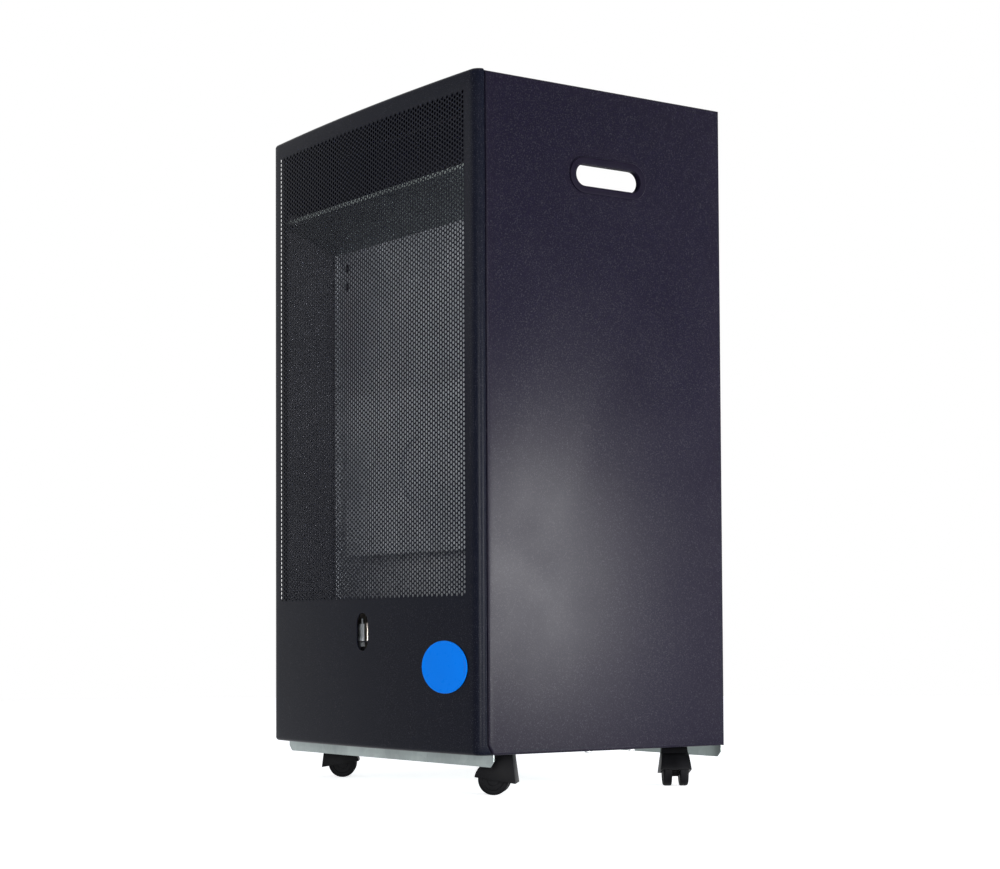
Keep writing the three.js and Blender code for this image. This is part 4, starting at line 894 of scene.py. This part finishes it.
@dataclass
class SidePanel:
    """A folded side panel with its chamfered lower front corner and its hand hole."""

    side: Side
    sheet: float = 1.2 * MM
    fold: float = 2.6 * MM
    fold_pieces: int = 5
    lip: float = 12.0 * MM
    hole_gap: float = 0.3 * MM
    cut_reach: float = 8.0 * MM

    def __post_init__(self) -> None:
        """Reads the panel's box from the frame."""
        self.node = f"side_panel_{self.side.word}"
        self.low, self.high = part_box(self.node)
        self.face = self.high.x if self.side is Side.RIGHT else self.low.x

    def miters(self, outline: Sequence[Point2]) -> list[Vector]:
        """Works out how an outline's corners move outwards.

        Args:
            outline: Its corners, anticlockwise.

        Returns:
            For each corner, the step that moves both its edges outwards by 1.
        """
        found = []
        for i, corner in enumerate(outline):
            before = (Vector(corner) - Vector(outline[i - 1])).normalized()
            after = (Vector(outline[(i + 1) % len(outline)]) - Vector(corner)).normalized()
            normal = Vector((before.y, -before.x))
            total = normal + Vector((after.y, -after.x))
            found.append(total / total.dot(normal))
        return found

    def build(self, grommet: "Grommet") -> None:
        """Builds the panel and cuts its hand hole.

        Args:
            grommet: The grommet that sits in the hole.
        """
        outline = [
            (self.low.y + CHAMFER[0], self.low.z), (self.high.y, self.low.z),
            (self.high.y, self.high.z), (self.low.y, self.high.z),
            (self.low.y, self.low.z + CHAMFER[1])]
        sign, count = self.side.value, len(outline)
        corners = list(zip(outline, self.miters(outline)))
        points = []
        for step in range(self.fold_pieces + 1):
            tilt = math.pi / 2 * step / self.fold_pieces
            inset, drop = self.fold * (1 - math.sin(tilt)), self.fold * (1 - math.cos(tilt))
            points += [(self.face - sign * drop, y - miter.x * inset, z - miter.y * inset)
                       for (y, z), miter in corners]
        points += [(self.face - sign * self.lip, y, z) for y, z in outline]
        faces = [list(range(count))] + ring_faces(self.fold_pieces + 2, count)
        panel = new_piece(f"side_shell_{self.side.word}", "powder_coat", points, faces)
        settle(panel, recalculate=True)
        facing = sum(p.normal.x * p.area for p in panel.data.polygons)
        if facing * sign < 0:
            panel.data.flip_normals()
        thicken(panel, self.sheet)
        tool = prism("hole_tool", "powder_coat", grommet.outline(grommet.sleeve + self.hole_gap),
                     lambda a, b, h: Vector((h, a, b)),
                     self.face - self.cut_reach, self.face + self.cut_reach)
        cut_away(panel, tool, SHEET_CREASE)
        hand_over(panel, "powder_coat", self.node)


@dataclass
class Grommet:
    """The plastic frame of a hand hole, with a rounded rim outside and a sleeve inside."""

    side: Side
    opening: Point2 = (85.0 * MM, 23.0 * MM)
    rim: float = 8.0 * MM
    sleeve: float = 2.2 * MM
    proud: float = 1.6 * MM
    edge: float = 1.1 * MM
    edge_pieces: int = 5

    def __post_init__(self) -> None:
        """Reads the place and the depth from the frame."""
        self.node = f"handle_grommet_{self.side.word}"
        low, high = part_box(self.node)
        self.centre = ((low.y + high.y) / 2, (low.z + high.z) / 2)
        self.out, self.deep = (high.x, low.x) if self.side is Side.RIGHT else (low.x, high.x)

    def outline(self, grow: float) -> list[Point2]:
        """The hole's outline in (Y, Z), larger by a distance all round."""
        return [(self.centre[0] + p[0] + n[0] * grow, self.centre[1] + p[1] + n[1] * grow)
                for p, n in stadium(*self.opening)]

    def build(self) -> None:
        """Sweeps the section of rim and sleeve round the hole."""
        sign = self.side.value
        back = self.out - sign * self.proud
        section = [(0.0, self.deep)]
        for centre, start in ((self.edge, 180.0), (self.rim - self.edge, 90.0)):
            section += [(a, self.out - sign * (self.edge - b)) for a, b in arc(
                (centre, 0.0), self.edge, start, start - 90.0, self.edge_pieces)]
        section += [(self.rim, back), (self.sleeve, back), (self.sleeve, self.deep)]
        points = [(x, y, z) for grow, x in section for y, z in self.outline(grow)]
        count = len(points) // len(section)
        piece = new_piece(f"hand_hole_{self.side.word}", "grommet_plastic", points,
                          ring_faces(len(section), count, closed=True))
        settle(piece, recalculate=True)
        hand_over(piece, "grommet_plastic", self.node)


# ------------------------------------------------------------------ badge, tray, top


@dataclass
class Badge:
    """A plain oval badge that lies against the bow, slightly domed, with a rim."""

    size: Point2 = (78.0 * MM, 54.0 * MM)
    thickness: float = 1.3 * MM
    lift: float = 0.3 * MM
    rim_shares: Point2 = (0.985, 0.96)
    field_share: float = 0.945
    field_drop: float = 0.25 * MM
    dome: float = 0.4 * MM
    dome_rings: int = 8
    segments: int = 72

    def build(self, front: BowedFront) -> None:
        """Builds the badge.

        Args:
            front: The front that it lies against.
        """
        centre = middle("badge")
        foot = Vector((centre.x, front.face(centre.x), centre.z))
        out = Vector((centre.x, foot.y - front.centre, 0.0)).normalized()
        across = Vector((-out.y, out.x, 0.0))
        field = self.thickness - self.field_drop
        rings = [(1.0, self.lift), (1.0, self.thickness - self.lift),
                 *((share, self.thickness) for share in self.rim_shares), (self.field_share, field)]
        for i in range(1, self.dome_rings):
            share = 1 - i / self.dome_rings
            rings.append((self.field_share * share, field + self.dome * (1 - share ** 2)))
        angles = [2 * math.pi * i / self.segments for i in range(self.segments)]
        points = [foot + out * height + across * (grow * self.size[0] / 2 * math.cos(a))
                  + UP * (grow * self.size[1] / 2 * math.sin(a)) for grow, height in rings for a in angles]
        faces = ring_faces(len(rings), self.segments)
        faces += [range(self.segments), range(len(points) - self.segments, len(points))]
        piece = new_piece("oval_badge", "badge", points, faces)
        settle(piece, 25.0, recalculate=True)
        hand_over(piece, "badge", "badge")


@dataclass
class BaseAndTop:
    """The zinc tray, the lid and the control well."""

    tray_edge: float = 0.5 * MM
    top_edge: float = 0.55 * MM
    well_edge: float = 0.4 * MM

    def build(self) -> None:
        """Carries the CAD shapes over with softened edges."""
        for node, slot, edge in (("base_tray", "zinc_tray", self.tray_edge),
                                 ("top_panel", "powder_coat", self.top_edge),
                                 ("control_well", "powder_coat", self.well_edge)):
            carry_over(node, slot, bevel=edge, crease=SHEET_CREASE)


# ------------------------------------------------------------------ castors


@dataclass
class Castor:
    """One twin-wheel castor: plate, hood, axle and two wheels."""

    name: str
    plate_edge: float = 0.3 * MM
    hood_edge: float = 0.7 * MM
    wheel_start: float = 4.2 * MM
    wheel_width: float = 9.6 * MM
    radius: float = 16.0 * MM
    tread: float = 1.4 * MM
    bore: float = 2.8 * MM
    bore_depth: float = 8.6 * MM
    groove: tuple[float, ...] = (5.0 * MM, 5.4 * MM, 12.0 * MM, 12.6 * MM)
    groove_depth: float = 0.6 * MM
    dish: tuple[float, ...] = (11.2 * MM, 10.6 * MM, 6.4 * MM, 5.9 * MM)
    dish_depth: float = 0.9 * MM
    hub_depth: float = 0.3 * MM

    def build(self) -> None:
        """Builds the castor's pieces on their bodies."""
        body = f"castor_{self.name}"
        carry_over(f"castor_plate_{self.name}", "zinc_tray", bevel=self.plate_edge)
        carry_over(f"castor_hood_{self.name}", "castor_plastic", body, bevel=self.hood_edge, segments=3)
        carry_over(f"castor_axle_{self.name}", "steel_pin", body, bevel=self.plate_edge)
        a, b = (middle(f"wheel_{letter}_{self.name}") for letter in "ab")
        outward, centre = (a - b).normalized(), (a + b) / 2
        self.wheel(f"wheel_a_{self.name}", centre, outward)
        self.wheel(f"wheel_b_{self.name}", centre, -outward)

    def wheel(self, node: str, centre: Vector, axis: Vector) -> None:
        """Turns one wheel.

        Args:
            node: The CAD node that the wheel stands for.
            centre: Middle of the axle.
            axis: Direction from the middle to the wheel.
        """
        width, tread, shoulder = self.wheel_width, self.tread, 2 * self.tread
        hub = width - self.hub_depth
        depths = (0.0, self.groove_depth, self.groove_depth, 0.0)
        heights = (width, width - self.dish_depth, width - self.dish_depth, hub)
        profile = [(0.0, self.bore_depth), (self.bore, self.bore_depth), (self.bore, 0.0),
                   *zip(self.groove, depths),
                   *arc((self.radius - tread, tread), tread, -90.0, 0.0, 4),
                   *arc((self.radius - shoulder, width - shoulder), shoulder, 0.0, 90.0, 6),
                   *zip(self.dish, heights), (0.0, hub)]
        piece = lathe(node + "_shape", "wheel_plastic", profile, centre + axis * self.wheel_start, axis, 56)
        hand_over(piece, "wheel_plastic", node, body=node)


# ------------------------------------------------------------------ controls


@dataclass
class Button:
    """The igniter button, with a rounded edge and a slightly hollow face."""

    edge: float = 1.6 * MM
    hollow_inset: float = 3.0 * MM
    hollow: Point2 = (0.5 * MM, 0.9 * MM)

    def build(self) -> None:
        """Turns the button."""
        low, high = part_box("igniter_button")
        radius, height = (high.x - low.x) / 2, high.z - low.z
        profile = [(0.0, 0.0), (radius, 0.0),
                   *arc((radius - self.edge, height - self.edge), self.edge, 0.0, 90.0, 5),
                   (radius - self.hollow_inset, height - self.hollow[0]), (0.0, height - self.hollow[1])]
        foot = middle("igniter_button")
        foot.z = low.z
        button = lathe("push_button", "control_plastic", profile, foot, UP, 40)
        hand_over(button, "control_plastic", "igniter_button", body="igniter_button")


@dataclass
class Knob:
    """The control knob: a skirt, a ribbed grip and a raised pale pointer."""

    ribs: int = 30
    rib_width: float = 1.5 * MM
    rib_depth: float = 0.8 * MM
    rib_tip: float = 0.3 * MM
    rib_root: float = 0.6 * MM
    rib_sink: float = 0.5 * MM
    rib_drop: float = 2.2 * MM
    skirt: float = 3.4 * MM
    skirt_edge: float = 0.8 * MM
    foot_edge: float = 0.6 * MM
    fillet: float = 0.4 * MM
    grip_inset: float = 2.6 * MM
    taper: float = 0.8 * MM
    crown: float = 1.8 * MM
    crown_start: float = 10.0
    dish_inset: float = 5.0 * MM
    dish: Point2 = (0.5 * MM, 0.7 * MM)
    bore: float = 4.3 * MM
    bore_roof: float = 5.0 * MM
    head_room: float = 1.2 * MM
    pointer_half: Point2 = (1.0 * MM, 1.4 * MM)
    pointer_ends: Point2 = (2.4 * MM, 3.0 * MM)
    pointer_sunk: float = 0.8 * MM
    pointer_rise: float = 0.5 * MM

    def __post_init__(self) -> None:
        """Reads the knob's place and reach from the frame."""
        low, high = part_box("control_knob")
        self.foot = middle("control_knob")
        self.foot.z = low.z
        self.radius = (high.x - low.x) / 2
        self.grip = self.radius - self.grip_inset
        self.top = high.z - low.z - self.head_room

    def build(self) -> None:
        """Builds the knob as one turned body with ribs set round it and its pointer."""
        for piece, slot in ((self.core(), "control_plastic"), (self.ribbing(), "control_plastic"),
                            (self.pointer(), "ceramic")):
            hand_over(piece, slot, "control_knob", body="control_knob")

    def core(self) -> Piece:
        """Turns the knob's body.

        Returns:
            The turned body.
        """
        radius, grip, top = self.radius, self.grip, self.top
        shoulder, face, roof = top - self.crown, grip - self.taper - self.crown, top - self.bore_roof
        profile = [(self.bore, 0.0), (radius - self.foot_edge, 0.0), (radius, self.foot_edge),
                   (radius, self.skirt - self.skirt_edge), (radius - self.skirt_edge, self.skirt),
                   (grip, self.skirt + self.fillet), (grip - self.taper, shoulder),
                   *arc((face, shoulder), self.crown, self.crown_start, 90.0, 4),
                   (grip - self.dish_inset, top - self.dish[0]), (0.0, top - self.dish[1]),
                   (0.0, roof), (self.bore, roof)]
        return lathe("knob_core", "control_plastic", profile, self.foot, UP, 72)

    def ribbing(self) -> Piece:
        """Sets the ribs round the grip.

        Returns:
            All ribs as one piece.
        """
        tree = GeometryTree("ribs_round", {"Rib": "Object", "Count": "Int", "Radius": "Float"})
        circle = tree.node("GeometryNodeMeshCircle",
                           {"Vertices": tree.start["Count"], "Radius": tree.start["Radius"]})
        x, y, _ = tree.position()
        turn = tree.node("ShaderNodeCombineXYZ", {"Z": tree.math("ARCTAN2", y, x)})["Vector"]
        tree.finish(tree.copies(circle["Mesh"], "Rib", turn))
        half, tip = self.rib_width / 2, self.rib_depth - self.rib_tip
        outline = [(-self.rib_root, -half), (tip, -half), (self.rib_depth, 0.0), (tip, half),
                   (-self.rib_root, half)]
        rib = prism("rib", "control_plastic", outline, lambda a, b, h: Vector((a, b, h)),
                    self.skirt, self.top - self.rib_drop)
        ribs = tree.grow("knob_ribs", "control_plastic",
                         {"Rib": rib, "Count": self.ribs, "Radius": self.grip - self.rib_sink})
        ribs.data.transform(Matrix.Translation(self.foot))
        bpy.data.objects.remove(rib)
        return ribs

    def pointer(self) -> Piece:
        """Builds the pointer.

        Returns:
            The pointer on the knob's face.
        """
        (tip, root), (start, end) = self.pointer_half, self.pointer_ends
        outline = [(-tip, start - self.grip), (tip, start - self.grip), (root, -end), (-root, -end)]
        return prism("knob_pointer", "ceramic", outline, lambda a, b, h: self.foot + Vector((a, b, h)),
                     self.top - self.pointer_sunk, self.top + self.pointer_rise)


@dataclass
class Controls:
    """The knob, the igniter button and the parts below them."""

    edge: float = 0.4 * MM
    valve_edge: float = 0.5 * MM

    def build(self) -> None:
        """Builds the knob and the button, and carries the rest over."""
        Knob().build()
        Button().build()
        carry_over("valve_spindle", "steel_pin", "valve_spindle", bevel=self.edge)
        carry_over("gas_valve", "brass", bevel=self.valve_edge)
        carry_over("hose_nozzle", "brass")
        carry_over("igniter_body", "control_plastic", bevel=self.edge)


# ------------------------------------------------------------------ firebox, pipes, flap, screws


@dataclass
class Internals:
    """Everything behind the front and in the cylinder bay, carried over with soft edges."""

    edge: float = 0.25 * MM
    round_crease: float = 50.0

    def build(self) -> None:
        """Carries each node over on the cabinet's body."""
        plates = {
            "galvanised": ("heat_shield", "bay_panel", "flame_plate", "burner_bracket_left",
                           "burner_bracket_right"),
            "zinc_tray": ("deflector",),
            "dark_steel": ("firebox_side_left", "firebox_side_right", "pilot_bracket"),
            "burner_steel": ("burner",)}
        for slot, nodes in plates.items():
            for node in nodes:
                plate = node_copy(node, slot, self.edge, 1, SHEET_CREASE)
                # painted shade: the bay panel's front faces take the dark coat
                if node == "bay_panel":
                    self.blacken_front(plate)
                hand_over(plate, slot, node)
        round_parts = {
            "burner_steel": ("mixing_tube", "pilot_burner"), "brass": ("injector",),
            "ceramic": ("spark_electrode",), "copper": ("thermocouple", "gas_pipe", "pilot_pipe"),
            "lead_sleeve": ("ignition_lead",)}
        for slot, nodes in round_parts.items():
            for node in nodes:
                carry_over(node, slot, crease=self.round_crease)

    def blacken_front(self, plate: Piece) -> None:
        """Paints the faces that look to the front with the dark coat, as painted shade for the dark bay
        above the deflector.

        Args:
            plate: The plate to paint.
        """
        # painted shade: the faces that look to the front get the dark coat as a second material
        plate.data.materials.append(MATERIALS["powder_coat"])
        for polygon in plate.data.polygons:
            if polygon.normal.y < -0.5:
                polygon.material_index = 1


@dataclass
class RearFlap:
    """The folded flap over the lower part of the cylinder bay."""

    edge: float = 0.4 * MM

    def build(self) -> None:
        """Carries the flap over with softened edges."""
        carry_over("rear_flap", "powder_coat", "rear_flap", bevel=self.edge, crease=SHEET_CREASE)


@dataclass
class Screws:
    """Pan-head screws with a cross recess, set in groups that face the same way."""

    head: float = 4.0 * MM
    rise: float = 2.3 * MM
    rim: float = 0.6 * MM
    shank: float = 1.6 * MM
    length: float = 5.0 * MM
    point: Point2 = (0.5 * MM, 0.8 * MM)
    recess: Point2 = (1.7 * MM, 0.35 * MM)
    recess_depth: float = 1.1 * MM
    crown: tuple[Point2, ...] = ((0.5 * MM, 0.9 * MM), (1.5 * MM, 0.2 * MM), (2.6 * MM, 0.0))
    seat_gap: float = 0.1 * MM

    def screw(self) -> Piece:
        """Builds one screw.

        Returns:
            A screw along Z, its head up, its seat at the origin.
        """
        profile = [(0.0, -self.length), (self.shank - self.point[0], -self.length),
                   (self.shank, -self.length + self.point[1]), (self.shank, 0.0), (self.head, 0.0),
                   (self.head, self.rim),
                   *((self.head - inset, self.rise - drop) for inset, drop in self.crown),
                   (0.0, self.rise)]
        screw = lathe("screw", "screw_steel", profile, Vector(), UP, 20)
        x, y = self.recess
        for turn in (0.0, math.pi / 2):
            turned = Matrix.Rotation(turn, 3, "Z")
            tool = prism("recess", "screw_steel", [(-x, -y), (x, -y), (x, y), (-x, y)],
                         lambda a, b, h: turned @ Vector((a, b, h)),
                         self.rise - self.recess_depth, self.rise + self.head)
            cut_away(screw, tool)
        return screw

    def seat(self, node: str, upright: bool) -> Point3:
        """Where the head of a node's screw sits.

        Args:
            node: The CAD screw.
            upright: Whether its head is on top.

        Returns:
            The place of its seat.
        """
        low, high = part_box(node)
        drop = self.rise + self.seat_gap
        centre = middle(node)
        return centre.x, centre.y, high.z - drop if upright else low.z + drop

    def build(self) -> None:
        """Sets the screws of the side panels and of the deflector."""
        screw = self.screw()
        tree = GeometryTree("repeat_on_points", {"Part": "Object", "Turn": "Vector"})
        tree.finish(tree.copies(tree.start["Geometry"], "Part", tree.start["Turn"]))
        groups = {
            "side_screws": [f"side_screw_{s}_{e}" for s in ("left", "right") for e in ("front", "rear")],
            "deflector_screws": ["deflector_screw_left", "deflector_screw_right"]}
        for name, nodes in groups.items():
            upright = name == "deflector_screws"
            turn = (0.0 if upright else math.pi, 0.0, 0.0)
            piece = tree.grow(name, "screw_steel", {"Part": screw, "Turn": turn},
                              [self.seat(node, upright) for node in nodes])
            hand_over(piece, "screw_steel", *nodes)
        bpy.data.objects.remove(screw)


# ------------------------------------------------------------------ studio


@dataclass(frozen=True)
class Lamp:
    """A soft box that stands at a place and points at a target, with its width, height and watts."""

    name: str
    place: Point3
    target: Point3
    size: Point2
    watts: float

    def build(self) -> None:
        """Adds the lamp."""
        data = bpy.data.lights.new(self.name, "AREA")
        data.shape = "RECTANGLE"
        data.size, data.size_y = self.size
        data.energy = self.watts
        lamp = in_scene(self.name, data)
        lamp.location = self.place
        aim = Vector(self.target) - Vector(self.place)
        lamp.rotation_euler = aim.to_track_quat("-Z", "Y").to_euler()


LAMPS = (
    Lamp("side_glow", (1.35, 0.575, 0.13), (0.213, -0.13, 0.2), (0.34, 0.42), 28.0),
    Lamp("key_soft", (2.1, -1.9, 0.3), (0.0, -0.15, 0.4), (0.6, 0.8), 48.0),
    Lamp("edge_strip", (2.9, -0.55, 0.05), (0.2, -0.1, 0.35), (0.35, 1.3), 85.0),
    Lamp("front_high", (-1.2, -2.8, 1.15), (0.2, -0.15, 0.55), (2.6, 0.8), 15.0),
    Lamp("top_soft", (0.3, -0.6, 3.0), (0.0, 0.0, 0.5), (2.4, 2.4), 14.0),
    Lamp("rear_soft", (0.7, 3.0, 0.4), (0.0, 0.15, 0.35), (1.2, 0.6), 26.0),
)


@dataclass(frozen=True)
class Studio:
    """Floor, lights, world and camera of the photo's view."""

    camera: Point3 = (1.9663, -1.3507, 0.16586)
    azimuth: float = 55.172
    pitch: float = 2.3795
    roll: float = -0.291
    focal_pixels: float = 2115.26
    image_width: float = 1000.0
    lowered_pixels: float = 110.76
    sensor: float = 36.0
    floor_radius: float = 3.2
    floor_lift: float = 0.7
    floor_colours: tuple[Point3, Point3] = ((0.93, 0.94, 0.96), (0.90, 0.91, 0.94))
    world_colour: Point3 = (0.86, 0.90, 1.0)
    world_strength: float = 0.3

    def build(self) -> None:
        """Sets up the whole studio."""
        self.set_camera()
        self.set_floor()
        self.set_world()
        for lamp in LAMPS:
            lamp.build()
        bpy.context.scene.view_settings.view_transform = "Standard"

    def set_camera(self) -> None:
        """Places the camera where the photo was taken."""
        data = bpy.data.cameras.new("camera")
        data.sensor_fit = "HORIZONTAL"
        data.sensor_width = self.sensor
        data.lens = self.focal_pixels / self.image_width * self.sensor
        data.shift_y = self.lowered_pixels / self.image_width
        data.clip_start = 0.05
        a, e, r = (math.radians(v) for v in (self.azimuth, self.pitch, self.roll))
        ahead = Vector((-math.sin(a) * math.cos(e), math.cos(a) * math.cos(e), math.sin(e)))
        right = Vector((math.cos(a), math.sin(a), 0.0))
        up = right.cross(ahead)
        right, up = right * math.cos(r) + up * math.sin(r), up * math.cos(r) - right * math.sin(r)
        turn = Matrix((right, up, -ahead)).transposed().to_4x4()
        camera = in_scene("camera", data)
        camera.matrix_world = Matrix.Translation(self.camera) @ turn
        bpy.context.scene.camera = camera

    def set_floor(self) -> None:
        """Lays a pale floor that looks white to the camera and keeps the heater's shadow."""
        tree = ShaderTree("studio_floor")
        mottle = tree.spread(tree.noise(1.3, 3.0), 0.0, 1.0)
        colour = tree.blend(mottle, *self.floor_colours)
        tree.feed(tree.surface["Base Color"], colour)
        tree.set(Roughness=0.7, Specular_IOR_Level=0.2)
        tree.surface["Emission Color"].default_value = WHITE
        lift = tree.math("MULTIPLY", tree.seen_by_eye(), self.floor_lift)
        tree.feed(tree.surface["Emission Strength"], lift)
        mesh = bpy.data.meshes.new("floor")
        rim = arc((0.0, 0.0), self.floor_radius, 0.0, 350.0, 35)
        mesh.from_pydata([(x, y, 0.0) for x, y in rim], [], [tuple(range(len(rim)))])
        mesh.materials.append(tree.material)
        in_scene("floor", mesh)

    def set_world(self) -> None:
        """A pale surround: plain white to the camera, softer to what it lights."""
        world = bpy.data.worlds.new("surround")
        bpy.context.scene.world = world
        world.use_nodes = True
        tree = NodeTree(world.node_tree)
        soft = tree.tree.nodes["Background"]
        soft.inputs["Color"].default_value = (*self.world_colour, 1.0)
        soft.inputs["Strength"].default_value = self.world_strength
        plain = tree.node("ShaderNodeBackground", {"Color": WHITE})["Background"]
        mix = tree.node("ShaderNodeMixShader",
                        {0: tree.seen_by_eye(), 1: soft.outputs["Background"], 2: plain})
        tree.feed(tree.tree.nodes["World Output"].inputs["Surface"], mix["Shader"])


def main() -> None:
    """Builds the studio and the heater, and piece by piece."""
    logging.basicConfig(level=logging.INFO, format="%(name)s: %(message)s")
    Studio().build()
    front = BowedFront()
    front.build()
    for side in Side:
        grommet = Grommet(side)
        SidePanel(side).build(grommet)
        grommet.build()
    Badge().build(front)
    BaseAndTop().build()
    for name in CASTORS:
        Castor(name).build()
    Controls().build()
    Internals().build()
    RearFlap().build()
    Screws().build()


if __name__ == "__main__":
    main()
